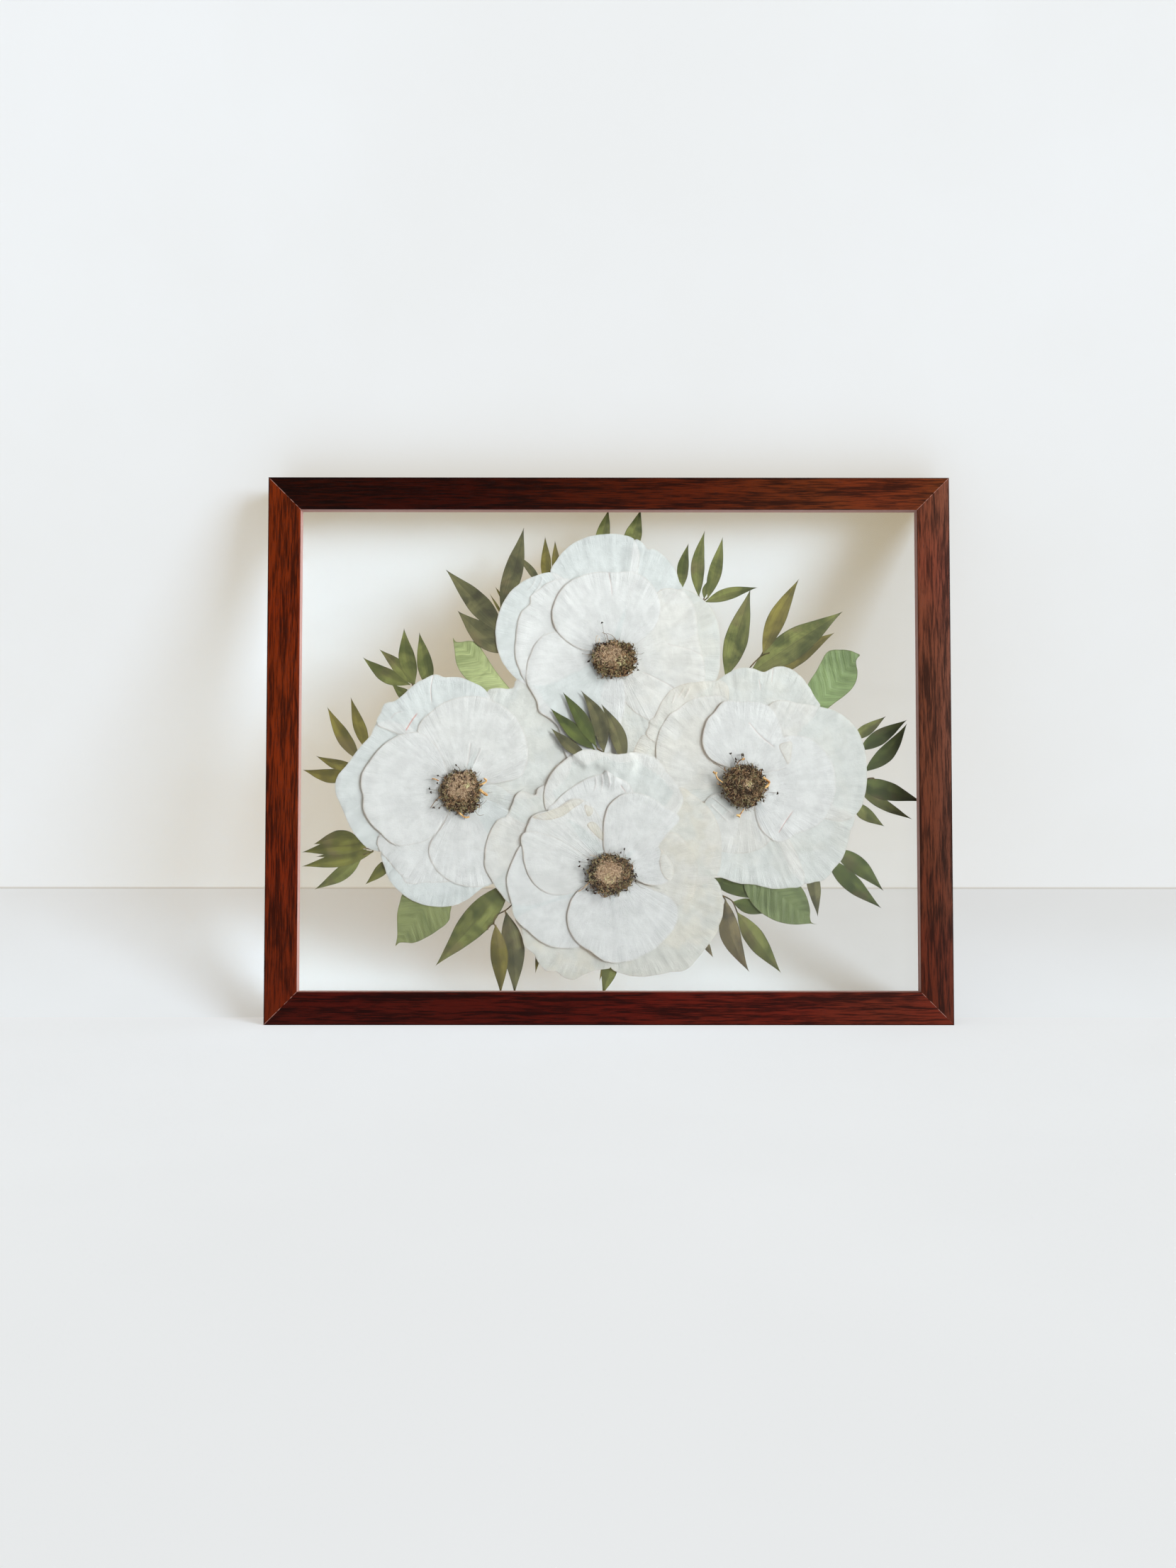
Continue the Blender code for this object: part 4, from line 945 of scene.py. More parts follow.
@dataclass(frozen=True)
class BroadLeafSkin:
    """Pressed broad leaves: light olive green, with slanting veins and soft wrinkles."""

    light: Colour = (0.355, 0.405, 0.185)
    deep: Colour = (0.185, 0.225, 0.085)
    rim: Colour = (0.10, 0.095, 0.035)
    ages: Stops = (
        (0.0, (1.0, 1.0, 1.0)), (0.5, (0.50, 0.62, 0.50)), (0.75, (0.50, 0.50, 0.40)),
        (1.0, (0.37, 0.42, 0.33)))

    def build(self) -> Material:
        """Build the material from the leaf's own coordinates along and across its midrib."""
        material, bench, shader = new_finish("dried_broad_leaf")
        along, across, _ = bench.axes(bench.place("UV"))
        place = bench.place()
        sway = bench.times(bench.grain(place, 60.0, 2.0), 0.006)
        slant = bench.minus(along, bench.times(bench.size_of(across), 0.8))
        slant = bench.plus(slant, sway)
        wide = bench.vector(bench.times(slant, 260.0), bench.times(across, 45.0))
        folds = bench.grain(wide, 1.0, 3.0, 0.6, 0.6)
        fine = bench.vector(bench.times(slant, 1300.0), bench.times(across, 90.0))
        hair = bench.grain(fine, 1.0, 2.0, 0.5, 0.3)
        patch = bench.grain(place, 45.0, 4.0, 0.6, 0.6)
        tone = bench.plus(bench.times(folds, 0.35), bench.times(patch, 0.65))
        leaf = bench.blend(bench.span(tone, 0.36, 0.64), self.deep, self.light)
        leaf = bench.tinted(leaf, bench.span(hair, 0.36, 0.64, 0.88, 1.12))
        leaf = bench.tinted(leaf, bench.ramp(bench.value_of("leaf_age"), *self.ages))
        leaf = bench.blend(bench.span(bench.value_of("leaf_edge"), 0.1, 0.7, 0.55, 0.0), leaf, self.rim)
        relief = bench.plus(folds, bench.times(hair, 0.3))
        coat(bench, shader, leaf, bench.span(folds, 0.3, 0.7, 0.62, 0.48), bench.relief(relief, 0.00030, 0.8))
        let_light_through(bench, shader, leaf, 0.2)
        return material


@dataclass(frozen=True)
class Speckled:
    """A dry matter of two mixed colours: stamens, flower hearts and stems."""

    name: str
    dark: Colour
    light: Colour
    size: float
    roughness: float = 0.8

    def build(self) -> Material:
        """Build the material on the piece's own coordinates."""
        material, bench, shader = new_finish(self.name)
        dapple = bench.grain(bench.place(), self.size, 4.0, 0.62)
        colour = bench.blend(bench.span(dapple, 0.36, 0.64), self.dark, self.light)
        rough = bench.span(dapple, 0.3, 0.7, self.roughness + 0.1, self.roughness - 0.1)
        coat(bench, shader, colour, rough, bench.relief(dapple, 0.0002, 0.6), MATT)
        return material


@dataclass(frozen=True)
class Paint:
    """The matt pale paint of the studio, which glows a little and may be open from behind. It is darkened
    along its corner line as painted shade, and its glow may dim and warm towards the corner as painted shade.
    """

    name: str
    glow: float
    one_sided: bool = False
    facing: Triple | None = None
    corner_height: float = -1.0
    pale: Colour = (0.365, 0.445, 0.565)
    shine: Colour = (1.0, 0.80, 0.46)
    far_shine: Colour = (1.0, 0.80, 0.46)

    def build(self) -> Material:
        """Build the material: a one-sided screen hides nothing from behind and stops no room light."""
        material, bench, shader = new_finish(self.name)
        place = bench.place()
        height = bench.axes(place)[2]
        pale = bench.tinted(self.pale, bench.span(bench.grain(place, 3.0, 4.0, 0.62), 0.3, 0.7, 0.97, 1.03))
        # Painted shade: a thin darker line along the corner where the rise meets the wall.
        away = bench.size_of(bench.minus(height, self.corner_height))
        corner_shade = bench.span(away, 0.0002, 0.0011, 0.35, 0.0)
        # The glow changes from shine to far_shine up to the corner; on the rise this dims and warms it as
        # painted shade.
        towards_wall = bench.span(height, 0.0, max(self.corner_height, MM))
        bench.fill(shader, ("Base Color", bench.blend(corner_shade, pale, (0.06, 0.05, 0.04))), ("Roughness", 0.85),
                   ("Specular IOR Level", 0.1), ("Emission Strength", self.glow),
                   ("Emission Color", bench.blend(towards_wall, self.shine, self.far_shine)))
        if self.facing:
            bench.feed(shader.inputs["Normal"], bench.vector(*self.facing))
        if self.one_sided:
            behind = bench.put("ShaderNodeNewGeometry").outputs["Backfacing"]
            spread = bench.put("ShaderNodeLightPath").outputs["Is Diffuse Ray"]
            bench.wear(bench.mixed(bench.reckon("MAXIMUM", behind, spread), shader.outputs[0], bench.clear()))
        return material


# --- the frame -------------------------------------------------------------------------------------


class EditBench:
    """A stay in edit mode on one piece, with faces and edges picked by their place or normal."""

    def __init__(self, piece: Object) -> None:
        """Keep the piece to work on."""
        self.piece = piece

    def __enter__(self) -> "EditBench":
        """Enter edit mode on the piece alone."""
        pick_only(self.piece)
        bpy.ops.object.mode_set(mode="EDIT")
        return self

    def __exit__(self, *problem: object) -> None:
        """Leave edit mode."""
        bpy.ops.object.mode_set(mode="OBJECT")

    def everything(self) -> None:
        """Select the whole piece."""
        bpy.ops.mesh.select_mode(type="FACE")
        bpy.ops.mesh.select_all(action="SELECT")

    def pick(self, kind: str, wanted: Callable[[object], bool]) -> None:
        """Select the faces or the edges that pass a test."""
        bpy.ops.mesh.select_mode(type=kind)
        bpy.ops.mesh.select_all(action="DESELECT")
        shape = bmesh.from_edit_mesh(self.piece.data)
        for part in shape.faces if kind == "FACE" else shape.edges:
            part.select = wanted(part)
        shape.select_flush_mode()
        bmesh.update_edit_mesh(self.piece.data)

    def faces(self, wanted: Callable[[bmesh.types.BMFace], bool]) -> None:
        """Select the faces that pass a test."""
        self.pick("FACE", wanted)

    def edges(self, wanted: Callable[[bmesh.types.BMEdge], bool]) -> None:
        """Select the edges that pass a test."""
        self.pick("EDGE", wanted)

    def cut(self, place: Sequence[float], normal: Sequence[float], clear: bool = False) -> None:
        """Cut the whole piece by a plane; when clear is set, drop the side that the normal points to and
        close the cut.
        """
        self.everything()
        bpy.ops.mesh.bisect(plane_co=place, plane_no=normal, use_fill=clear, clear_outer=clear)

    def face_outwards(self, apart: float = SAME_PLACE) -> None:
        """Merge doubled vertices and turn every face outwards."""
        self.everything()
        bpy.ops.mesh.remove_doubles(threshold=apart)
        bpy.ops.mesh.normals_make_consistent(inside=False)


@dataclass
class MitredRails:
    """The four rails of the frame, cut to a mitre at the corners, with a rabbet behind the lip."""

    face: float = 18.2
    lip: float = 6.0
    rabbet: float = 6.0
    rounding: float = 0.7
    mitre_gap: float = 0.03
    # Each rail's colours from end to end: the stain's own tone with painted sheen, lighter and hazier towards
    # the bright right side of the room.
    woods: dict[str, StainedWood] = field(default_factory=lambda: {
        "rail_bottom": StainedWood("stained_wood_bottom", False, 0.3, (
            (0.0, (0.033, 0.0030, 0.0012)), (0.45, (0.046, 0.0033, 0.0014)), (0.75, (0.074, 0.0086, 0.0037)),
            (1.0, (0.092, 0.0158, 0.0068)))),
        "rail_top": StainedWood("stained_wood_top", False, 1.7, (
            (0.0, (0.015, 0.0019, 0.0007)), (0.3, (0.018, 0.0023, 0.0009)), (0.6, (0.056, 0.0079, 0.0020)),
            (1.0, (0.107, 0.0245, 0.0062)))),
        "rail_left": StainedWood("stained_wood_left", True, 2.9, (
            (0.0, (0.078, 0.0094, 0.0016)), (0.5, (0.115, 0.0144, 0.0019)), (1.0, (0.111, 0.0144, 0.0019)))),
        "rail_right": StainedWood("stained_wood_right", True, 4.1, (
            (0.0, (0.063, 0.0130, 0.0046)), (0.5, (0.100, 0.0288, 0.0136)), (1.0, (0.122, 0.0360, 0.0180)))),
    })

    def build(self) -> None:
        """Build, dress and hand over the four rails."""
        grain, edges = grain_group(), edge_group()
        runs = (("rail_bottom", HALF_WIDTH, HALF_HEIGHT, 0), ("rail_top", HALF_WIDTH, HALF_HEIGHT, 180),
                ("rail_left", HALF_HEIGHT, HALF_WIDTH, 90), ("rail_right", HALF_HEIGHT, HALF_WIDTH, -90))
        for node, half_length, half_span, turn in runs:
            rail = self.rail("mitred_" + node, half_length, half_span, turn)
            rail.data.materials.append(self.woods[node].build(grain, edges))
            hand_over(rail, "rail_wood", node)

    def rail(self, name: str, half_length: float, half_span: float, turn: float) -> Object:
        """Model one rail below the frame's middle, then turn it to its side.

        Args:
            name: The piece's name.
            half_length: Half the length of its outer edge.
            half_span: How far its outer edge lies from the frame's middle.
            turn: Degrees that it turns about the frame's middle.

        Returns:
            The rail.
        """
        front, low = -FRAME_DEPTH / 2 * MM, -half_span * MM
        bpy.ops.mesh.primitive_cube_add(size=1.0, location=(0, front + self.lip / 2 * MM,
                                                            low + self.face / 2 * MM))
        rail = bpy.context.active_object
        rail.name = rail.data.name = name
        rail.scale = (2 * half_length * MM, self.lip * MM, self.face * MM)
        apply_place(rail)
        shelf = low + (self.face - self.rabbet) * MM
        with EditBench(rail) as bench:
            bench.cut((0, 0, shelf), (0, 0, 1))
            bench.faces(lambda face: face.normal.y > 0.9 and face.calc_center_median().z < shelf)
            bpy.ops.mesh.extrude_region_move(
                TRANSFORM_OT_translate={"value": (0, (FRAME_DEPTH - self.lip) * MM, 0)})
            bench.edges(lambda edge: all(abs(vert.co.y - front) < 1e-6 for vert in edge.verts)
                        and abs(edge.verts[0].co.z - edge.verts[1].co.z) < 1e-6
                        and abs(edge.verts[0].co.z - shelf) > 1e-4)
            bpy.ops.mesh.bevel(offset=self.rounding * MM, segments=4, affect="EDGES")
            end = (half_length - self.mitre_gap) * MM
            bench.cut((end, 0, low), (1, 0, 1), clear=True)
            bench.cut((-end, 0, low), (-1, 0, 1), clear=True)
            bench.face_outwards()
        rail.rotation_euler = (0.0, radians(turn), 0.0)
        rail.location = (0.0, 0.0, HALF_HEIGHT * MM)
        apply_place(rail)
        smooth(rail, 35.0)
        return rail


@dataclass
class GlassPanes:
    """The two panes, which keep their CAD solids and get their glass."""

    # The back pane's warm grey tint is partly the glass's own colour and partly painted shade: it darkens and
    # warms the wall seen through it.
    panes: tuple[tuple[str, float, Colour, Colour], ...] = (
        ("pane_front", 0.4, (0.985, 0.985, 0.982), (0.975, 0.975, 0.970)),
        ("pane_back", 2.3, (0.955, 0.945, 0.915), (0.935, 0.925, 0.893)))

    def build(self) -> None:
        """Dress both panes."""
        for node, *look in self.panes:
            finish = ClearGlass("clear_glass_" + node, *look).build()
            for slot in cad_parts[node].material_slots:
                slot.material = finish
            LOG.info("%s: dressed", node)


# --- the flowers -----------------------------------------------------------------------------------


@dataclass
class Petal:
    """One petal: the CAD node it belongs to, its outline and the depth of its front side."""

    node: str
    name: str
    centre: Point
    outline: Outline
    depth: float
    cream: float

    @property
    def row(self) -> str:
        """Return its name in the tables of folds and creases."""
        return self.name.removeprefix("pressed_")

    def rays(self, places: Array) -> tuple[Array, Array]:
        """Return each place's angle about the flower's centre, from the petal's middle, and its distance."""
        middle = self.outline.points.mean(axis=0) - self.centre
        away = places - np.array(self.centre)
        heading = atan2(middle[1], middle[0])
        turn = (np.arctan2(away[:, 1], away[:, 0]) - heading + pi) % tau - pi
        return turn, np.hypot(away[:, 0], away[:, 1])


@dataclass(frozen=True)
class Fold:
    """A corner of a petal that is folded over onto it, or a crumpled scrap that lies on it."""

    outline: tuple[Point, ...]
    cream: float = 1.0


@dataclass(frozen=True)
class Crease:
    """A thin line pressed into a petal: how deep it is, how dark its painted shade is, and how wide."""

    line: tuple[Point, ...]
    height: float = -0.10
    shade: float = 0.35
    width: float = 0.35


# The folds and the creases by their petal. A fold may also be the base of a petal that lies behind, where
# it shows between the ones in front.
FOLDS: dict[str, tuple[Fold, ...]] = {
    "bottom_flower_petal_upper_right_front": (
        Fold(((28, -54), (34, -61), (36.5, -66), (36, -72), (33, -73), (30, -69), (28.5, -63),
              (29.5, -57)), 0.75),),
    "bottom_flower_petals_left_front_far": (
        Fold(((-14, -28.5), (-20, -27.6), (-28, -32), (-35, -34.8), (-42.5, -37.5), (-39, -39),
              (-32, -39), (-25, -36.5), (-19, -32)), 0.9),
        Fold(((-13.5, -31), (-9, -32.5), (-9.5, -36), (-12, -37)), 0.9),
        Fold(((-12, -42.5), (-8, -40.5), (-3.4, -46), (-3.2, -51)), 0.9)),
    "right_flower_petal_upper_left_front": (
        Fold(((96.5, 3), (103, 4.8), (103, -2), (101.5, -8), (99, -4)), 0.35),),
    "left_flower_petal_right_back": (
        Fold(((-80, -16), (-66, -18), (-54, -25), (-48, -33), (-56, -38), (-70, -34), (-80, -30)), 0.2),),
    "right_flower_petals_outer_left_far": (
        Fold(((74, -14), (62, -15), (53, -17), (50, -24), (56, -31), (66, -33), (75, -28)), 0.4),),
}

CREASES: dict[str, tuple[Crease, ...]] = {
    "top_flower_petal_upper_front": (
        Crease(((0, 101), (1.4, 94), (2, 88)), -0.12, 0.3),
        Crease(((16, 57), (18.5, 57.4), (21, 57)), -0.06, 0.35)),
    "left_flower_petal_upper_back": (
        Crease(((-99, 43), (-100.5, 35), (-100, 27)), -0.14, 0.35),
        Crease(((-114, 12), (-111, 17), (-108, 21)), -0.10, 0.9, 0.6),
        Crease(((-123, 18), (-120, 21), (-116, 22)), -0.12, 0.2)),
    "bottom_flower_petal_upper_middle": (
        Crease(((7, -20), (10, -24)), -0.12, 0.4), Crease(((-8, -13), (-7, -18), (-8, -23)), 0.12, 0.16),
        Crease(((-4.5, -11.5), (-3.5, -17), (-4, -23)), 0.12, 0.16),
        Crease(((-1, -12), (0.5, -17), (0, -22)), 0.12, 0.16)),
    "bottom_flower_petals_left_back_near": (Crease(((-50, -97), (-43, -104), (-36, -109)), -0.1, 0.3),),
    "right_flower_petal_upper_left_front": (Crease(((80, 15), (86, 8), (94, 1.5)), -0.12, 0.3),),
    "right_flower_petal_right_front": (Crease(((96, -46), (99, -41), (104, -34)), -0.14, 0.6),),
    "right_flower_petal_upper_back": (
        Crease(((85, 40), (86, 34)), -0.1, 0.3), Crease(((93, 46), (92, 38)), -0.1, 0.3)),
    "top_flower_petal_left_back": (
        Crease(((-46, 91), (-43, 94), (-41, 99)), 0.12, 0.14),
        Crease(((-42, 90), (-39, 94), (-37.5, 99.5)), 0.12, 0.14)),
    "top_flower_petal_right_middle": (
        Crease(((20, 44), (34, 37), (46, 27)), -0.10, 0.16),
        Crease(((34, 60), (46, 57), (56, 52)), -0.08, 0.12)),
    "right_flower_petals_outer_left_near": (
        Crease(((40, 31), (43, 36)), 0.12, 0.16), Crease(((43, 30), (46, 36)), 0.12, 0.16),
        Crease(((36, 27), (38, 33)), 0.12, 0.16)),
    "right_flower_petals_lower_back_near": (
        Crease(((59, -27), (64, -31), (70, -36)), 0.14, 0.14),
        Crease(((58, -31), (62, -35), (67, -40)), 0.14, 0.14),
        Crease(((61, -24), (66, -27.5), (71, -31)), 0.14, 0.14)),
    "left_flower_petal_upper_front": (
        Crease(((-78, 4), (-79, -4), (-80, -10)), -0.12, 0.16),
        Crease(((-72, 1), (-75, -6), (-78, -12)), 0.12, 0.10)),
    "bottom_flower_petal_lower_front": (Crease(((17, -74), (22, -77), (26.5, -78.5)), -0.1, 0.4),),
}


class Press:
    """The height of all that already lies in the press, on a grid over the glass.

    The bed is how high the foliage at the back stands over its own depth. A twig is laid in with some room
    round its leaves and its stem, and stands up by its rise.
    """

    BED = 0.4
    LEAF_ROOM = 0.8
    STEM_ROOM = 1.2
    TWIG_RISE = 0.3

    def __init__(self, pitch: float) -> None:
        """Start with an empty press, whose bed is the foliage at the back."""
        self.pitch = pitch
        shape = (int(2 * HALF_HEIGHT / pitch) + 2, int(2 * HALF_WIDTH / pitch) + 2)
        self.height = np.full(shape, self.BED - FOLIAGE_FRONT)

    def lay_twig(self, twig: Twig) -> None:
        """Lay a twig in the press, so that the petals in front of it lie over it."""
        runs = [(leaf.base, leaf.tip, leaf.width / 2 + self.LEAF_ROOM) for leaf in twig.leaves]
        runs += [(start, end, self.STEM_ROOM) for stem in twig.stems for start, end in zip(stem, stem[1:])]
        places = self.places((slice(0, self.height.shape[0]), slice(0, self.height.shape[1])))
        for start, end, reach in runs:
            start, axis = np.array(seen_at(*start, twig.depth)), np.subtract(end, start)
            share = np.clip((places - start) @ axis / (axis @ axis), 0.0, 1.0)[:, None]
            near = (np.hypot(*(places - start - share * axis).T) < reach).reshape(self.height.shape)
            self.height[near] = np.maximum(self.height[near], self.TWIG_RISE - twig.depth)

    def cells(self, outline: Outline, margin: int) -> Window:
        """Return the rows and columns of the grid round an outline."""
        low = ((outline.low + (HALF_WIDTH, HALF_HEIGHT)) / self.pitch).astype(int) - margin
        high = ((outline.high + (HALF_WIDTH, HALF_HEIGHT)) / self.pitch).astype(int) + margin + 2
        return slice(max(low[1], 0), high[1]), slice(max(low[0], 0), high[0])

    def places(self, window: Window) -> Array:
        """Return the places of a window's cells, row by row."""
        up, across = (np.arange(part.start, min(part.stop, count)) * self.pitch - half for part, count, half
                      in zip(window, self.height.shape, (HALF_HEIGHT, HALF_WIDTH)))
        across, up = np.meshgrid(across, up)
        return np.column_stack([across.ravel(), up.ravel()])

    @staticmethod
    def around(level: Array) -> tuple[Array, ...]:
        """Return a grid as seen one cell below, above, to the left and to the right."""
        padded = np.pad(level, 1, mode="edge")
        return padded[:-2, 1:-1], padded[2:, 1:-1], padded[1:-1, :-2], padded[1:-1, 2:]

    def softened(self, level: Array, times: int) -> Array:
        """Return a grid blurred by its neighbours some times over."""
        for _ in range(times):
            below, above, left, right = self.around(level)
            level = (below + above + left + right + 2 * level) / 6
        return level

    def highest(self, level: Array) -> Array:
        """Return for each cell the highest of itself and its neighbours."""
        return np.max([*self.around(level), level], axis=0)

    def read(self, level: Array, window: Window, places: Array) -> Array:
        """Return the heights of a window's grid at some places."""
        column = (places[:, 0] + HALF_WIDTH) / self.pitch - window[1].start
        row = (places[:, 1] + HALF_HEIGHT) / self.pitch - window[0].start
        column = np.clip(column, 0, level.shape[1] - 1.001)
        row = np.clip(row, 0, level.shape[0] - 1.001)
        i, j = row.astype(int), column.astype(int)
        a, b = row - i, column - j
        return ((1 - a) * ((1 - b) * level[i, j] + b * level[i, j + 1])
                + a * ((1 - b) * level[i + 1, j] + b * level[i + 1, j + 1]))


def eased(share: Array) -> Array:
    """Return shares from 0 to 1 with a soft start and end."""
    return share * share * (3 - 2 * share)


def across_outline(points: Array) -> Array:
    """Return the outward direction at each point of an outline."""
    run = np.roll(points, -1, axis=0) - np.roll(points, 1, axis=0)
    run /= np.linalg.norm(run, axis=1)[:, None]
    return np.column_stack([run[:, 1], -run[:, 0]])


@dataclass
class PressedPetals:
    """All petals of the four flowers, laid one on the other from the back to the front.

    Lengths are millimetres. The clearances are the room between a sheet and what it lies on, limp is how near
    its rim a sheet no longer holds itself up, and the two drape numbers count the passes that soften what
    lies below. The ruffles are the pleats of the outer part: how high they are, how far from the flower's
    middle they start and are full, and the depths at which a petal has no room and full room for them.
    """

    thickness: float = 0.07
    press_pitch: float = 0.6
    fold_step: float = 0.6
    layer_room: float = 0.05
    twig_room: float = 0.2
    rear_lift: float = 0.13
    cover_fade: float = 1.2
    drape_reach: int = 3
    drape_softness: int = 14
    pitch: float = 1.2
    rim_step: float = 0.8
    raggedness: float = 0.2
    swell: float = 0.17
    pleat: float = 0.075
    clearance: float = 0.19
    rim_clearance: float = 0.13
    limp: float = 10.0
    ruffles: float = 0.28
    ruffles_from: float = 18.0
    ruffles_growth: float = 14.0
    room_from: float = 10.0
    room_growth: float = 3.5
    rim_band: float = 2.4
    pair_shift: float = 0.05
    deepest: float = 1.6
    held_within: float = 10.0
    held_fade: float = 10.0
    creamy: dict[str, float] = field(default_factory=lambda: {
        "bottom_flower_petals_right_back": 0.8, "right_flower_petals_outer_left": 0.75,
        "right_flower_petal_left_middle": 0.45, "right_flower_petals_lower_back": 0.3,
        "right_flower_petals_outer_right": 0.3, "bottom_flower_petals_left_back": 0.35,
        "bottom_flower_petals_bottom_back": 0.8, "bottom_flower_petals_left_front": 0.1,
        "top_flower_petals_right_back": 0.45, "top_flower_petal_right_middle": 0.3,
        "left_flower_petal_right_back": 0.35, "left_flower_petal_upper_front": 0.1,
        "bottom_flower_petal_upper_back": 0.2, "right_flower_petal_upper_back": 0.35,
    })

    def build(self, centres: dict[str, Point]) -> None:
        """Build, dress and hand over every petal.

        Args:
            centres: The middle of each flower by its name.
        """
        finish = DriedPetal().build()
        press = Press(self.press_pitch)
        petals = sorted(self.gather(centres), key=lambda petal: -petal.depth)
        centre_twig = next(twig for twig in TWIGS if twig.node == "twig_centre")
        for number, petal in enumerate(petals):
            if centre_twig and petal.depth < CENTRE_TWIG - self.twig_room:
                press.lay_twig(centre_twig)
                centre_twig = None
            behind = [other for other in petals[:number] if other.depth > petal.depth + self.layer_room]
            members = [self.sheet(petal, petal.name, petal.outline.rounded(self.rim_step), petal.cream,
                                  behind, press, float(number))]
            for fold in FOLDS.get(petal.row, ()):
                flap = Outline(np.array([seen_at(x, z, petal.depth) for x, z in fold.outline]))
                members.append(self.sheet(petal, petal.name + "_fold", flap.rounded(self.fold_step),
                                          fold.cream, behind, press, number + 0.5))
            piece = join(petal.name, members)
            piece.data.materials.append(finish)
            smooth(piece)
            hand_over(piece, "petal", petal.node)

    def gather(self, centres: dict[str, Point]) -> list[Petal]:
        """Read the petals from the CAD solids, a pair as its near and its far petal."""
        petals = []
        for node in sorted(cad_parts):
            if "_petal" not in node:
                continue
            centre = centres["_".join(node.split("_")[:2])]
            cream = self.creamy.get(node, 0.0)
            pair = "_petals_" in node
            for rear in (False, True)[:2 if pair else 1]:
                outline, level = face_outline(node, rear)
                shift = -self.rear_lift if rear else (-self.pair_shift if pair else self.pair_shift)
                depth = level + shift
                moved = Outline(np.array([seen_at(x, z, depth) for x, z in outline.points]))
                suffix = ("_far" if rear else "_near") if pair else ""
                petals.append(Petal(node, f"pressed_{node}{suffix}", centre, moved, depth, cream))
        return petals

    def covered(self, places: Array, behind: Sequence[Petal]) -> Array:
        """Return for each place how many petals lie behind it, fading in at their edges."""
        total = np.zeros(len(places))
        for other in behind:
            inside = other.outline.holds(places)
            if inside.any():
                gap = np.clip(other.outline.distance(places[inside]) / self.cover_fade, 0.0, 1.0)
                total[inside] += eased(gap)
        return total

    def ragged(self, outline: Outline, seed: float) -> Outline:
        """Return an outline with the small unevenness of a dried edge."""
        push = [self.raggedness * (wander(x, z, 4.5, seed) + 0.5 * wander(x, z, 1.6, seed))
                for x, z in outline.points]
        return Outline(outline.points + across_outline(outline.points) * np.array(push)[:, None])

    def settle(self, press: Press, rim: Outline, places: Array, edge: Array,
               petal: Petal) -> Array:
        """Lay a sheet in the press: held up near the flower's heart, its rim flat on what lies below.

        Args:
            press: What already lies in the press.
            rim: The sheet's outline.
            places: The sheet's points.
            edge: The distance of each point to the outline.
            petal: The petal it belongs to.

        Returns:
            The height of each point, as minus its depth.
        """
        rest = -petal.depth
        window = press.cells(rim, 8)
        below = np.maximum(press.height[window], rest - self.deepest)
        draped = below
        for _ in range(self.drape_reach):
            draped = press.highest(draped)
        draped = press.softened(draped, self.drape_softness)
        fields = (draped, press.highest(below))
        cells = press.places(window)
        inside = rim.holds(cells)
        shape = press.height[window].shape
        laid = press.height[window].ravel()
        covered = self.lifted(press, fields, window, cells[inside], rim.distance(cells[inside]), petal)
        laid[inside] = np.maximum(covered, laid[inside])
        result = self.lifted(press, fields, window, places, edge, petal)
        press.height[window] = laid.reshape(shape)
        return result

    def lifted(self, press: Press, fields: tuple[Array, Array], window: Window,
               places: Array, edge: Array, petal: Petal) -> Array:
        """Return the heights of some places of a sheet.

        Args:
            press: What already lies in the press.
            fields: The softened and the true height of what lies below.
            window: The part of the press that the heights cover.
            places: The places asked for.
            edge: The distance of each place to the sheet's outline.
            petal: The petal that the sheet belongs to.

        Returns:
            The height of each place, as minus its depth.
        """
        draped, top = fields
        close = np.clip(1 - edge / self.rim_band, 0.0, 1.0)
        gap = self.clearance + (self.rim_clearance - self.clearance) * close
        true = press.read(top, window, places) + gap
        base = press.read(draped, window, places) + self.clearance
        base += (true - base) * close * close * (3 - 2 * close)
        reach = np.hypot(*(places - petal.centre).T)
        held = np.clip(1 - (reach - self.held_within) / self.held_fade, 0.0, 1.0)
        held = held * held * (3 - 2 * held) * np.clip(edge / self.limp, 0.0, 1.0)
        raised = base + np.maximum(-petal.depth - base, 0.0) * held
        return np.maximum(raised, true) + self.ruffled(petal, places, edge)

    def ruffled(self, petal: Petal, places: Array, edge: Array) -> Array:
        """Return how far the pleats of a petal's outer part stand up, in millimetres."""
        turn, reach = petal.rays(places)
        room = min(1.0, max(0.3, (petal.depth - self.room_from) / self.room_growth))
        outer = np.clip(edge / 1.6, 0.25, 1.0) * np.clip(1.5 - edge / 12.0, 0.0, 1.0)
        outer *= np.clip((reach - self.ruffles_from) / self.ruffles_growth, 0.0, 1.0) * self.ruffles * room
        for index in np.flatnonzero(outer > 0.01):
            wave = noise.noise(Vector((turn[index] * 17.0, reach[index] / 45.0, petal.depth * 3.0)))
            outer[index] *= max(0.0, 0.25 + 1.2 * wave)
        return outer

    def sheet(self, petal: Petal, name: str, outline: Outline, cream: float, behind: Sequence[Petal],
              press: Press, seed: float) -> Object:
        """Model one sheet of petal: fill its outline, lay it in the press and give it its thickness.

        Args:
            petal: The petal it belongs to.
            name: The sheet's name.
            outline: Its outline.
            cream: How creamy it is, from 0 to 1.
            behind: The petals that lie deeper than it.
            press: What already lies in the press.
            seed: A number that makes its pleats its own.

        Returns:
            The sheet.
        """
        rim = self.ragged(outline, seed)
        lines = CREASES.get(petal.row, ()) if name == petal.name else ()
        extra, rise, shade = self.crease_points(lines, rim, petal.depth)
        places, faces = rim.filled(self.pitch, extra)
        edge = rim.distance(places)
        edge[:len(rim.points)] = 0.0
        turn, reach = petal.rays(places)
        height = self.settle(press, rim, places, edge, petal)
        height += self.relief(places, edge, turn, reach, seed)
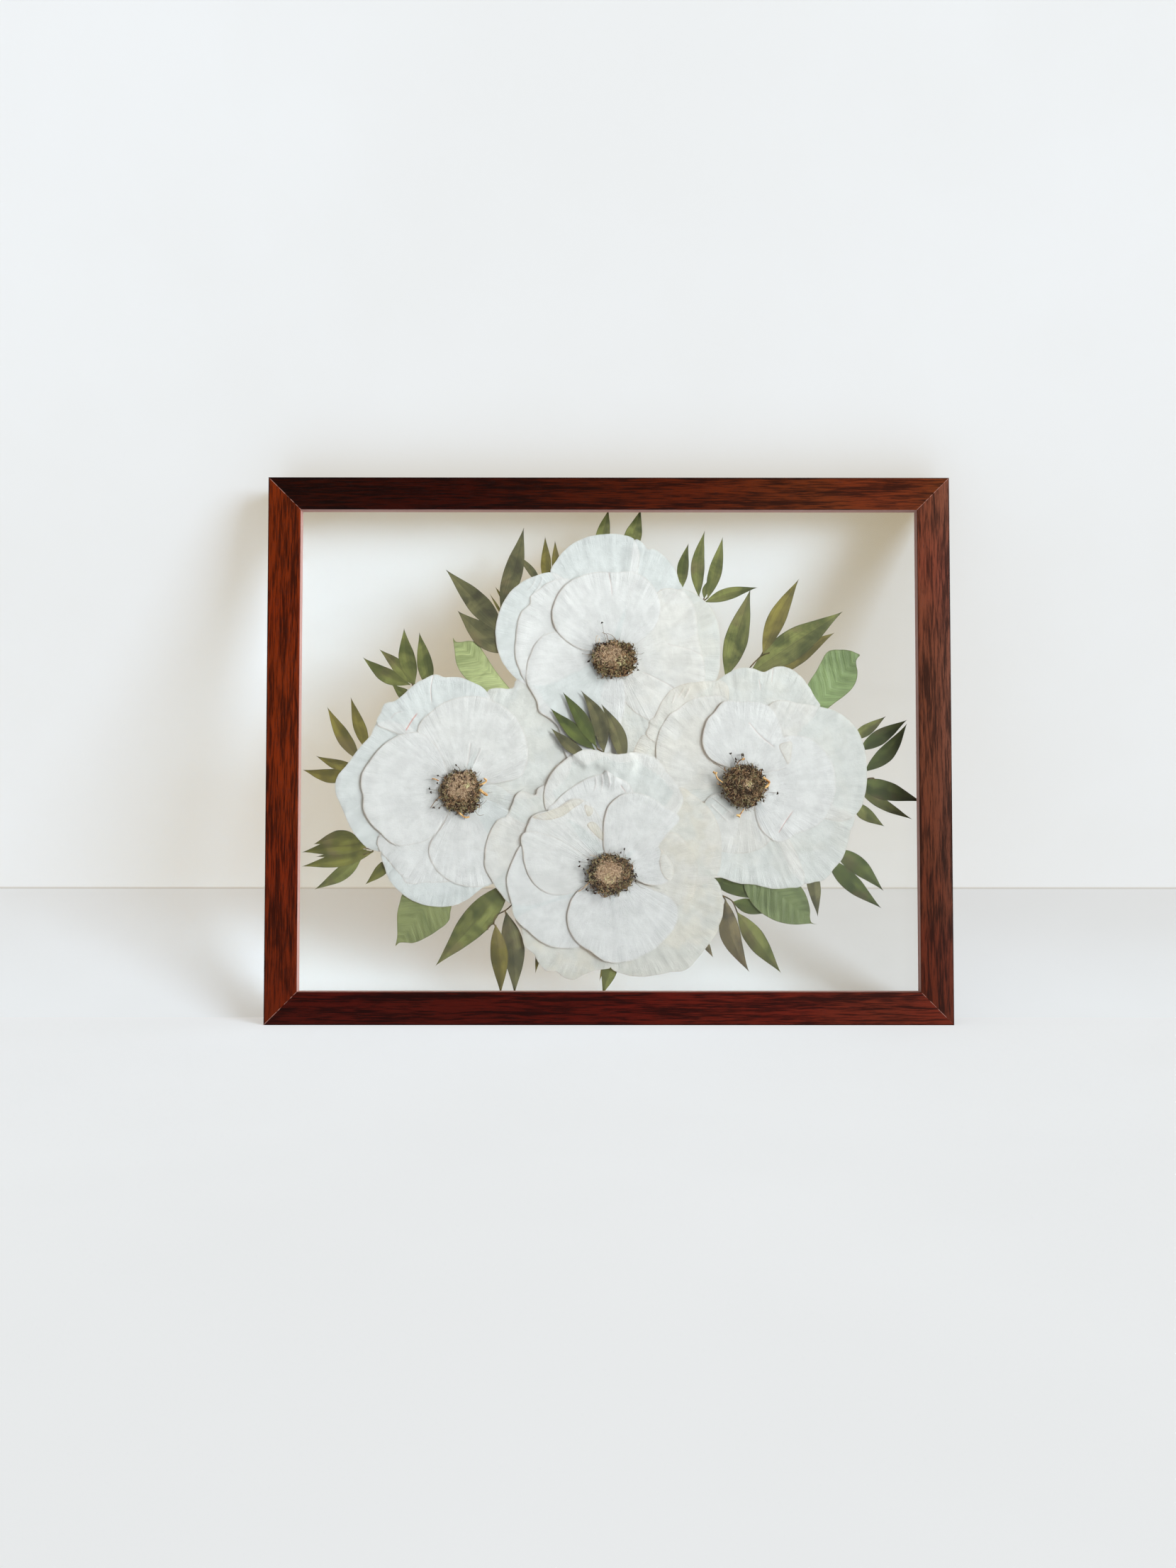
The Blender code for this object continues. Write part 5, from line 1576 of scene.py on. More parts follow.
        # How strongly each point is painted with shade along the creases.
        stain = np.zeros(len(places))
        first = len(rim.points)
        height[first:first + len(extra)] += rise
        stain[first:first + len(extra)] = shade
        points = [spot(x, z, -up) for (x, z), up in zip(places, height)]
        piece = mesh_piece(name, points, faces)
        thicken(piece, self.thickness)
        both = len(piece.data.vertices) // len(places)
        for label, values in (("petal_edge", edge), ("petal_cover", self.covered(places, behind)),
                              ("petal_shade", self.browned(rim, places)),
                              ("petal_cream", np.full(len(places), cream)), ("petal_stain", stain)):
            write_values(piece, label, np.tile(values, both))
        write_uv(piece, np.tile(np.column_stack([turn, reach * MM]), (both, 1)))
        return piece

    def browned(self, rim: Outline, places: Array) -> Array:
        """Return for each place how brown the rim next to it is painted: a little everywhere for the dried
        edge, and most, as painted shadow, where the rim turns from the light.
        """
        out = across_outline(rim.points)
        away = np.clip(-out[:, 0] * 0.95 + out[:, 1] * -0.1 + 0.1, 0.0, 1.0)
        # A little brown everywhere, and more painted shadow where the rim faces away from the light.
        shade = 0.18 + 0.22 * away
        shade *= [0.75 + 0.6 * wander(x, z, 5.0, 8.0) for x, z in rim.points]
        result = np.empty(len(places))
        for start in range(0, len(places), BLOCK):
            gaps = places[start:start + BLOCK][:, None, :] - rim.points[None]
            result[start:start + BLOCK] = shade[(gaps ** 2).sum(axis=2).argmin(axis=1)]
        return result

    def crease_points(self, creases: Sequence[Crease], rim: Outline, depth: float
                      ) -> tuple[Array, Array, Array]:
        """Return the extra points of a petal's creases, with their rise and their shade."""
        rows = []
        for crease in creases:
            way = np.array(smooth_path([seen_at(x, z, depth) for x, z in crease.line], 0.6))
            run = np.gradient(way, axis=0)
            aside = np.column_stack([-run[:, 1], run[:, 0]]) / np.linalg.norm(run, axis=1)[:, None]
            ends = np.minimum(1.0, np.arange(1, len(way) + 1)[::-1] / 4)
            for offset, share in ((-crease.width, 0.0), (0.0, 1.0), (crease.width, 0.0)):
                for place, end in zip(way + aside * offset, ends):
                    rows.append((*place, crease.height * share * end, crease.shade * share * end))
        if not rows:
            return np.empty((0, 2)), np.empty(0), np.empty(0)
        table = np.array(rows)
        kept = rim.holds(table[:, :2])
        kept[kept] = rim.distance(table[kept, :2]) > 0.25
        for index in np.flatnonzero(kept):
            near = np.hypot(*(table[:index, :2] - table[index, :2]).T) < 0.12
            if (near & kept[:index]).any():
                kept[index] = False
        table = table[kept]
        return table[:, :2], table[:, 2], table[:, 3]

    def relief(self, places: Array, edge: Array, turn: Array, reach: Array,
               seed: float) -> Array:
        """Return the small waves of a petal, in millimetres towards the front pane."""
        def wave(index: int, pleats: float, size: float, shift: float) -> float:
            """Return noise that runs outwards in pleats."""
            return noise.noise(Vector((turn[index] * pleats, reach[index] / size, seed + shift)))

        raised = np.empty(len(places))
        for index, (x, z) in enumerate(places):
            shared = self.swell * wander(x, z, 16.0, 3.1) + 0.11 * wander(x, z, 6.5, 7.7)
            shared += 0.05 * wander(x, z, 3.2, 5.2)
            grow = min(1.0, reach[index] / 30.0)
            loose = min(1.0, 0.35 + edge[index] / 4.0)
            own = wave(index, 24.0, 30.0, 0.0) + 0.6 * wave(index, 62.0, 18.0, 9.0)
            raised[index] = shared + self.pleat * grow * loose * own
        return raised


class Pile:
    """Gathers many small shapes into one mesh, each with its own finish."""

    def __init__(self) -> None:
        """Start an empty pile."""
        self.points: list[Vector] = []
        self.faces: list[tuple[int, ...]] = []
        self.finish: list[int] = []

    def add(self, points: Iterable[Vector], faces: Iterable[Sequence[int]], finish: int) -> None:
        """Add one shape whose faces wear the finish of some number."""
        start = len(self.points)
        self.points += points
        before = len(self.faces)
        self.faces += [tuple(index + start for index in face) for face in faces]
        self.finish += [finish] * (len(self.faces) - before)

    def piece(self, name: str, finishes: Sequence[Material]) -> Object:
        """Make the pile one piece with its finishes."""
        piece = mesh_piece(name, self.points, self.faces)
        for finish in finishes:
            piece.data.materials.append(finish)
        piece.data.polygons.foreach_set("material_index", self.finish)
        smooth(piece, 55.0)
        return piece


def polar(angle: float, reach: float) -> Point:
    """Return a point at an angle and a distance."""
    return reach * cos(angle), reach * sin(angle)


def model_anther() -> tuple[list[Vector], list[tuple[int, ...]]]:
    """Model one dried anther as a small bent bean of unit length and return its mesh."""
    bpy.ops.mesh.primitive_uv_sphere_add(segments=8, ring_count=6, radius=1.0)
    bean = bpy.context.active_object
    bean.scale = (0.58, 0.50, 1.0)
    apply_place(bean)
    with EditBench(bean) as bench:
        bench.faces(lambda face: abs(face.calc_center_median().z) > 0.4)
        bpy.ops.transform.translate(value=(0.22, 0.0, 0.0))
        bench.faces(lambda face: abs(face.calc_center_median().z) > 0.75)
        bpy.ops.transform.translate(value=(0.24, 0.0, 0.0))
        bench.face_outwards()
    points = [vertex.co.copy() for vertex in bean.data.vertices]
    faces = [tuple(face.vertices) for face in bean.data.polygons]
    bpy.data.objects.remove(bean, do_unlink=True)
    return points, faces


@dataclass(frozen=True)
class Strand:
    """A loose thread, stalk or flap of a heart, from the heart's middle: its way, thickness and finish."""

    way: tuple[Point, ...]
    radius: float = 0.10
    finish: str = "thread"


@dataclass
class FlowerHeart:
    """One flower's middle: a pressed mass of curled stamens round a paler heart, and its receptacle."""

    flower: str
    centre: Point
    front: float
    back: float
    seed: int
    rim: tuple[float, ...]
    core: tuple[float, float, float, float]
    crumbs: Triple
    beans: tuple[Point, ...]
    strands: tuple[Strand, ...]
    curls: int = 470
    fine_curls: int = 300
    loose_anthers: int = 150
    hairs: int = 46
    rim_points: int = 72
    stub_radius: float = 5.0
    stub_depth: float = 0.5
    crumb_share: int = 14

    def build(self, finishes: dict[str, Material], bean: tuple[list, list]) -> None:
        """Build, dress and hand over the heart, the stamens and the receptacle."""
        chance = random.Random(self.seed)
        pieces = (self.heart(chance, finishes), self.crown(chance, finishes, bean), self.receptacle(finishes))
        for piece in pieces:
            hand_over(piece, "stamens", self.flower + "_centre")

    def edge_at(self, angle: float) -> float:
        """Return how far the mass of stamens reaches at an angle."""
        step = angle % tau / tau * len(self.rim)
        low = int(step) % len(self.rim)
        share = step - int(step)
        return self.rim[low] * (1 - share) + self.rim[(low + 1) % len(self.rim)] * share

    def depth_at(self, x: float, z: float) -> float:
        """Return the depth of the mass's surface at a place from the heart's middle."""
        share = min(1.0, hypot(x, z) / self.edge_at(atan2(z, x)))
        rise = min(1.0, self.back - self.front - 0.2)
        return self.back - 0.12 - rise * (1 - share ** 3) - 0.12 * wander(x, z, 2.5, self.seed)

    def within_core(self, x: float, z: float) -> bool:
        """Return whether a place from the heart's middle lies in the paler part."""
        middle_x, middle_z, wide, high = self.core
        share = ((x - middle_x) / wide) ** 2 + ((z - middle_z) / high) ** 2
        return share < 1.0 + 0.5 * wander(x, z, 3.0, self.seed + 4.0)

    def at(self, x: float, z: float, depth: float) -> Vector:
        """Return a place in the scene from millimetres round the heart's middle."""
        return spot(self.centre[0] + x, self.centre[1] + z, depth)

    def heart(self, chance: random.Random, finishes: dict[str, Material]) -> Object:
        """Model the solid mass under the stamens with the fine curls of its paler part."""
        ring = []
        for step in range(self.rim_points):
            angle = tau * step / self.rim_points
            uneven = 0.91 + 0.09 * noise.noise(Vector((angle * 4.0, self.seed, 0.0)))
            ring.append(polar(angle, self.edge_at(angle) * uneven))
        places, faces = Outline(np.array(ring)).filled(0.7)
        points = [self.at(x, z, self.depth_at(x, z) + 0.25) for x, z in places]
        mound = mesh_piece("mound", points, faces)
        # The mound outside the paler heart is painted near black: painted shade that shows in the gaps
        # between the curls.
        for name in ("soil", "heart"):
            mound.data.materials.append(finishes[name])
        for face in mound.data.polygons:
            middle = face.center / MM
            face.material_index = int(self.within_core(middle.x - self.centre[0],
                                                       middle.z - HALF_HEIGHT - self.centre[1]))
        thicken(mound, 0.25)
        pile = Pile()
        for number in range(self.fine_curls):
            angle, reach = chance.uniform(0, tau), 1.05 * sqrt(chance.random())
            x = self.core[0] + reach * self.core[2] * cos(angle)
            z = self.core[1] + reach * self.core[3] * sin(angle)
            if hypot(x, z) < self.edge_at(atan2(z, x)) - 1.0:
                radius, length = chance.uniform(0.13, 0.24), chance.uniform(1.6, 3.4)
                self.curl(pile, chance, x, z, radius, length, number % 3)
        x, z, reach = self.crumbs
        for _ in range(int(self.crumb_share * reach)):
            aside, up = polar(chance.uniform(0, tau), reach * sqrt(chance.random()))
            self.curl(pile, chance, x + aside, z + up, chance.uniform(0.2, 0.36), chance.uniform(0.8, 1.8), 3)
        hair = pile.piece("hair", [finishes[name] for name in ("heart", "fine", "pale", "crumb")])
        piece = join(f"pressed_{self.flower}_heart", [mound, hair])
        smooth(piece, 50.0)
        return piece

    def curl(self, pile: Pile, chance: random.Random, x: float, z: float, radius: float, length: float,
             finish: int) -> None:
        """Add one tightly curled shaving that lies on the mass.

        Args:
            pile: Where it goes.
            chance: The heart's own random numbers.
            x: Its start, in millimetres from the heart's middle.
            z: Its start, upwards.
            radius: Half its thickness.
            length: Its length.
            finish: The number of its finish in the pile.
        """
        heading = chance.uniform(0, tau)
        turn = chance.choice((-1, 1)) * chance.uniform(1.6, 4.4)
        lift, steps = chance.uniform(0.05, 0.4), 6
        path = []
        for step in range(steps + 1):
            arch = sin(pi * step / steps)
            depth = max(self.front + radius, self.depth_at(x, z) + 0.15 - lift * arch)
            path.append(self.at(x, z, depth))
            heading += turn / steps
            x += cos(heading) * length / steps
            z += sin(heading) * length / steps
        radii = [radius * MM * (0.55 + 0.45 * sin(pi * (step + 0.6) / (steps + 1.2)))
                 for step in range(steps + 1)]
        points, faces = tube(path, radii, 5)
        pile.add(points, faces, finish)

    def crown(self, chance: random.Random, finishes: dict[str, Material],
              bean: tuple[list, list]) -> Object:
        """Model the crowd of curled stamens, its anthers and the strands that stick out of it."""
        names = ("thread", "bristle", "anther", "golden", "olive", "heart")
        pile = Pile()
        placed = 0
        while placed < self.curls:
            angle = chance.uniform(0, tau)
            x, z = polar(angle, (self.edge_at(angle) - 0.5) * sqrt(chance.random()))
            if self.within_core(x, z) and chance.random() > 0.05:
                continue
            finish = chance.choice((0, 0, 1, 1, 4, 2, 2))
            self.curl(pile, chance, x, z, chance.uniform(0.19, 0.37), chance.uniform(1.8, 3.6), finish)
            placed += 1
        for _ in range(self.loose_anthers):
            angle = chance.uniform(0, tau)
            x, z = polar(angle, self.edge_at(angle) * (1.0 - 0.35 * chance.random() ** 2) - 0.2)
            place = self.at(x, z, max(self.front + 0.4, self.depth_at(x, z) - 0.1))
            self.anther(pile, bean, place, chance.uniform(0, tau), chance.uniform(0.45, 0.72),
                        2 if chance.random() < 0.7 else 4)
        for _ in range(self.hairs):
            angle = chance.uniform(0, tau)
            reach = self.edge_at(angle) - 0.8
            bend, far = angle + chance.uniform(-0.22, 0.22), reach + chance.uniform(1.6, 3.8)
            hook = bend + chance.uniform(-0.16, 0.16)
            way = (polar(angle, reach), polar(bend, reach + 1.3), polar(hook, far))
            self.strand(pile, Strand(way, 0.07), 0)
        for x, z in self.beans:
            self.anther(pile, bean, self.at(x, z, self.back - 0.35), chance.uniform(0, tau),
                        chance.uniform(0.66, 0.86), 2)
            angle = atan2(z, x) + chance.uniform(-0.3, 0.3)
            start = polar(angle, self.edge_at(angle) - 1.0)
            middle = tuple((a + b) / 2 + chance.uniform(-0.6, 0.6) for a, b in zip(start, (x, z)))
            self.strand(pile, Strand((start, middle, (x, z)), 0.08), 0)
        for strand in self.strands:
            self.strand(pile, strand, names.index(strand.finish))
        return pile.piece(f"pressed_{self.flower}_stamens", [finishes[name] for name in names])

    def strand(self, pile: Pile, strand: Strand, finish: int) -> None:
        """Add one strand that runs over the petals next to the heart."""
        way = smooth_path(strand.way, max(0.5, strand.radius * 1.2))
        wide = strand.radius * MM
        path = [self.at(x, z, self.back - 0.2 - strand.radius - 0.10 * sin(1.3 * index))
                for index, (x, z) in enumerate(way)]
        radii = [wide * (1.0 + 0.25 * wander(index * 0.7, strand.radius, 1.0)) for index in range(len(path))]
        radii[-1] *= 0.5
        points, faces = tube(path, radii, 4 if strand.radius < 0.2 else 7)
        pile.add(points, faces, finish)

    @staticmethod
    def anther(pile: Pile, bean: tuple[list, list], place: Vector, heading: float, size: float,
               finish: int) -> None:
        """Add one copy of the modelled anther at a place, with its long side along a heading."""
        turned = Matrix.Translation(place) @ Matrix.Rotation(pi / 2 - heading, 4, "Y")
        turned = turned @ Matrix.Scale(size * MM, 4)
        pile.add([turned @ point for point in bean[0]], bean[1], finish)

    def receptacle(self, finishes: dict[str, Material]) -> Object:
        """Model the cut end of the flower stalk behind the petals."""
        _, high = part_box(self.flower + "_centre")
        back = high.y / MM + FRAME_DEPTH / 2
        bpy.ops.mesh.primitive_cylinder_add(
            vertices=28, radius=self.stub_radius * MM, depth=self.stub_depth * MM, rotation=(pi / 2, 0, 0),
            location=spot(*self.centre, back - self.stub_depth / 2))
        stub = bpy.context.active_object
        apply_place(stub)
        with EditBench(stub) as bench:
            bench.faces(lambda face: face.normal.y > 0.9)
            bpy.ops.mesh.inset(thickness=1.1 * MM, depth=0.0)
            bpy.ops.mesh.inset(thickness=0.5 * MM, depth=-0.18 * MM)
            bench.faces(lambda face: face.normal.y < -0.9)
            bpy.ops.mesh.inset(thickness=1.5 * MM, depth=0.0)
            bpy.ops.mesh.extrude_region_move(
                TRANSFORM_OT_translate={"value": (0, (self.back - back + self.stub_depth) * MM, 0)})
            bench.face_outwards()
        for vertex in stub.data.vertices:
            ripple = 1.0 + 0.06 * noise.noise(vertex.co * 900.0)
            vertex.co.x = self.centre[0] * MM + (vertex.co.x - self.centre[0] * MM) * ripple
        stub.name = f"pressed_{self.flower}_receptacle"
        stub.data.materials.append(finishes["heart"])
        smooth(stub, 35.0)
        return stub


@dataclass
class FlowerHearts:
    """The four dark flower centres, with the rims of their masses read anticlockwise from the right."""

    hearts: tuple[FlowerHeart, ...] = (
        FlowerHeart(
            "bottom_flower", (2.0, -69.5), 8.6, 9.75, 11,
            (12.2, 12.2, 10.6, 10.6, 12.0, 13.4, 14.2, 14.0, 12.7, 11.6, 11.6, 12.2),
            (-2.2, 1.2, 7.4, 6.2), (-1.6, -2.6, 2.6),
            ((6.7, 14), (4.7, 12), (9.9, 8.5), (-13.6, 7.9), (-18.4, 6.7), (-18.4, 4.2), (-16, 2.6), (-15, 0),
             (13.4, 0), (12.9, -1.8), (13, -4), (-14.6, -8.5), (-13.8, -9.2), (-9.5, -11)),
            (Strand(((-12.6, 10.7), (-10.4, 10.0), (-8.3, 9.9)), 0.1, "golden"),
             Strand(((-19, -9.9), (-16, -7.8), (-13, -4.6)), 0.16, "golden"),
             Strand(((13, -5), (16, -7.4), (18.6, -8.3)), 0.08),
             Strand(((-8.2, -10.0), (-4.7, -13), (-1.2, -11.6)), 0.2, "bristle"))),
        FlowerHeart(
            "right_flower", (77.5, -19.5), 8.8, 11.2, 12,
            (11.5, 10.8, 11.8, 11.5, 12.4, 14.0, 14.0, 13.6, 14.2, 13.2, 12.0, 11.6),
            (0.8, 0.6, 2.0, 1.7), (1.6, 0.4, 1.4),
            ((-8.7, 17.6), (-5.9, 14.6), (-5.9, 13.2), (-13.6, -4.7), (9.1, 8.5), (17.8, -4.7), (9.5, -7.1),
             (9.7, -9.1), (5.5, -10.8), (-2.0, 17.0)),
            (Strand(((-5.5, 11.0), (-4.0, 13.4), (-2.0, 14.8)), 0.3, "bristle"),
             Strand(((-2.4, 14.0), (-1.5, 14.9), (-0.8, 14.4)), 0.55, "golden"),
             Strand(((-2.2, 15.0), (-2.6, 17.4), (-1.6, 17.6), (-1.3, 15.8)), 0.26, "thread"),
             Strand(((-12.0, 8.2), (-15.6, 10.8), (-19, 12.6)), 0.12, "bristle"),
             Strand(((-13.2, 1.4), (-16.0, 3.4), (-17.4, 6.4)), 0.36, "golden"),
             Strand(((-18.6, 7.6), (-17.4, 6.4), (-16.6, 7.2)), 0.6, "golden"),
             Strand(((-14, 0.4), (-16.4, 0.6), (-16.0, 2.2)), 0.14, "golden"),
             Strand(((9.5, 4.3), (11.6, 2.6), (13, 1.6), (12.0, -0.2), (10.4, -1.8)), 0.72, "golden"),
             Strand(((-1.4, -13.6), (-2.6, -15.4), (-4.4, -17.6)), 0.42, "golden"),
             Strand(((-5.6, -17.0), (-4.4, -17.2), (-3.6, -18.2)), 0.7, "golden")),
            560, 50),
        FlowerHeart(
            "top_flower", (3.8, 54.0), 9.0, 11.7, 13,
            (10.9, 10.6, 7.6, 8.6, 9.0, 11.4, 13.0, 14.2, 13.5, 12.4, 12.9, 13.0),
            (-3.0, 1.2, 8.2, 6.8), (3.4, -3.2, 2.8),
            ((-15, -3.6), (-11, 5.9), (-2.4, -13), (11.9, -2), (9.5, 4.5), (12.6, -5.1), (11.5, -7.1),
             (12.8, -8.3), (-7.6, 18.6)),
            (Strand(((-7.5, 12.8), (-5.1, 11.9), (-4.2, 9.0)), 0.13, "bristle"),
             Strand(((-4.6, 12.4), (-1.6, 11.0), (0.0, 8.6)), 0.12, "bristle"),
             Strand(((-11, 7.0), (-10.7, 10.7), (-9.5, 11)), 0.1, "golden"),
             Strand(((-9.6, 6.8), (-9.0, 8.6), (-9.2, 9.8)), 0.1, "golden"),
             Strand(((-19, 0.8), (-16.4, 0.4), (-12.6, 0.2)), 0.09, "bristle"),
             Strand(((10.2, 0.8), (14.6, 0.6), (16.2, 1.6)), 0.1, "thread"),
             Strand(((11.0, 1.0), (12.6, 2.4), (12.6, -0.6)), 0.07, "thread"),
             Strand(((-10, -12.2), (-10.2, -13.6), (-8.8, -13.0)), 0.08, "thread"),
             Strand(((2, -12.0), (6, -11.6), (10, -9.6)), 0.3, "bristle")),
            480, 320),
        FlowerHeart(
            "left_flower", (-82.5, -22.5), 9.0, 11.7, 14,
            (10.3, 10.7, 12.0, 11.8, 11.4, 12.1, 12.4, 12.8, 13.2, 13.4, 13.8, 11.2),
            (-1.2, 3.0, 8.0, 8.2), (3.0, 2.4, 1.4),
            ((-3.4, 14.2), (-4.2, 11.5), (-13.8, 8.1), (-8.7, 8.1), (-14.2, 4), (-18.6, 0.8), (-17.8, -1.2),
             (-14.2, -5.5), (-16, -9.7), (-13, -10)),
            (Strand(((-12, -3.4), (-15, -6.0), (-17.8, -9.9)), 0.2, "bristle"),
             Strand(((-17, 6.5), (-15.2, 6.2), (-13.2, 5.2)), 0.4, "golden"),
             Strand(((9.8, 3.0), (12.3, 4), (13.6, 5.5), (12.1, 6.7)), 0.52, "golden"),
             Strand(((9.8, 0.4), (12.2, -1.6), (14.4, -3.0)), 0.85, "golden"),
             Strand(((-1.6, -12.8), (1.6, -15.2), (4.3, -15)), 0.5, "golden"),
             Strand(((8.7, -9.5), (11.9, -7.5), (13.8, -5.5)), 0.09, "bristle"),
             Strand(((7.1, -11.5), (9.5, -14.2), (12.3, -13.8)), 0.1, "bristle"),
             Strand(((8.4, 6.4), (9.6, 8.6), (10.6, 10.4)), 0.08, "thread"),
             Strand(((14.4, -1.6), (15.8, -1.4), (17.0, -1.2)), 0.1, "thread"))),
    )

    def build(self) -> dict[str, Point]:
        """Build the four centres and return their places."""
        rows = (("heart", "flower_heart", (0.155, 0.092, 0.056), (0.40, 0.285, 0.185), 900.0),
                # The stamen bed is painted near black as the shade in the gaps between the curls.
                ("soil", "stamen_bed", (0.009, 0.005, 0.002), (0.045, 0.027, 0.012), 900.0),
                ("pale", "pale_heart_bristles", (0.19, 0.130, 0.075), (0.44, 0.335, 0.215), 700.0),
                ("bristle", "heart_bristles", (0.070, 0.034, 0.015), (0.24, 0.145, 0.074), 700.0),
                ("fine", "heart_threads", (0.115, 0.062, 0.034), (0.33, 0.225, 0.135), 700.0),
                ("thread", "stamen_threads", (0.034, 0.021, 0.008), (0.17, 0.125, 0.068), 600.0),
                ("anther", "dried_anthers", (0.007, 0.004, 0.003), (0.045, 0.024, 0.014), 900.0),
                ("olive", "pale_anthers", (0.040, 0.032, 0.010), (0.25, 0.215, 0.110), 600.0),
                ("crumb", "pale_crumbs", (0.25, 0.21, 0.095), (0.52, 0.48, 0.270), 600.0),
                ("golden", "golden_stamens", (0.22, 0.085, 0.022), (0.62, 0.42, 0.180), 420.0))
        finishes = {key: Speckled(*look).build() for key, *look in rows}
        bean = model_anther()
        for heart in self.hearts:
            heart.build(finishes, bean)
        return {heart.flower: heart.centre for heart in self.hearts}


# --- the foliage -----------------------------------------------------------------------------------


@dataclass
class SlenderTwigs:
    """The twigs with their slender leaves, each one piece."""

    twigs: tuple[Twig, ...]
    thickness: float = 0.09
    layer_step: float = 0.09
    stem_radius: float = 0.38
    belly: float = 0.8
    point: float = 1.25
    cells: tuple[int, int] = (30, 8)
    foot: float = 0.35
    keel: float = 0.10
    buckle: float = 0.08

    def build(self) -> None:
        """Build, dress and hand over every twig."""
        leaf_finish = DriedLeaf().build()
        stem_finish = Speckled("dried_stem", (0.035, 0.028, 0.012), (0.12, 0.085, 0.045), 300.0, 0.7).build()
        for twig in self.twigs:
            members = []
            for number, leaf in enumerate(twig.leaves):
                blade = self.blade(f"{twig.node}_blade_{number}", leaf, self.depth_of(twig, number))
                blade.data.materials.append(leaf_finish)
                members.append(blade)
            for number, run in enumerate(twig.stems):
                stem = self.stem(f"{twig.node}_stem_{number}", run, twig.depth)
                stem.data.materials.append(stem_finish)
                members.append(stem)
            piece = join("pressed_" + twig.node, members)
            smooth(piece)
            hand_over(piece, "slender_leaf", twig.node)

    def depth_of(self, twig: Twig, number: int) -> float:
        """Return the depth of one leaf in its twig, the first leaf foremost."""
        return twig.depth + (number - (len(twig.leaves) - 1) / 2) * self.layer_step

    def blade(self, name: str, leaf: Leaf, depth: float) -> Object:
        """Model one leaf from a grid drawn out to its shape.

        Args:
            name: The leaf's name before it joins its twig.
            leaf: Its row in the table.
            depth: How deep it lies.

        Returns:
            The leaf.
        """
        bpy.ops.mesh.primitive_grid_add(x_subdivisions=self.cells[0], y_subdivisions=self.cells[1], size=1.0)
        blade = bpy.context.active_object
        blade.name = blade.data.name = name
        base, axis = Vector(leaf.base), Vector(leaf.tip) - Vector(leaf.base)
        aside = Vector((-axis.y, axis.x)).normalized()
        for vertex in blade.data.vertices:
            along, across = vertex.co.x + 0.5, vertex.co.y * 2
            half = 0.0
            if 0 < along < 1:
                half = leaf.width / 2 * sin(pi * along ** self.belly) ** self.point
            half = max(half, self.foot * (1 - along * 6))
            half *= 1.0 + 0.05 * wander(along * 6, across, 1.0, depth + leaf.tip[0])
            x, z = base + axis * along + aside * (leaf.bend * sin(pi * along) + across * half)
            x, z = seen_at(x, z, depth)
            raised = self.keel * (1 - abs(across)) * min(1.0, half) + self.buckle * wander(x, z, 9.0, 5.5)
            vertex.co = spot(x, z, depth - raised)
        with EditBench(blade) as bench:
            bench.face_outwards(1e-5)
        if sum(face.normal.y for face in blade.data.polygons) > 0:
            blade.data.flip_normals()
        thicken(blade, self.thickness)
        write_values(blade, "leaf_tint", [leaf.tint.value] * len(blade.data.vertices))
        return blade

    def stem(self, name: str, run: Sequence[Point], depth: float) -> Object:
        """Model one stretch of flattened stem."""
        way = [seen_at(x, z, depth) for x, z in smooth_path(run, 1.5)]
        radii = [self.stem_radius * MM * (1.0 + 0.25 * wander(x, z, 2.0, 1.0)) for x, z in way]
        points, faces = tube([spot(x, z, depth) for x, z in way], radii, 8)
        middle = spot(0, 0, depth).y
        flat = [Vector((p.x, middle + (p.y - middle) * 0.5, p.z)) for p in points]
        stem = mesh_piece(name, flat, faces)
        write_values(stem, "leaf_tint", [1.0] * len(flat))
        write_uv(stem, np.tile([0.3, 0.5], (len(flat), 1)))
        return stem


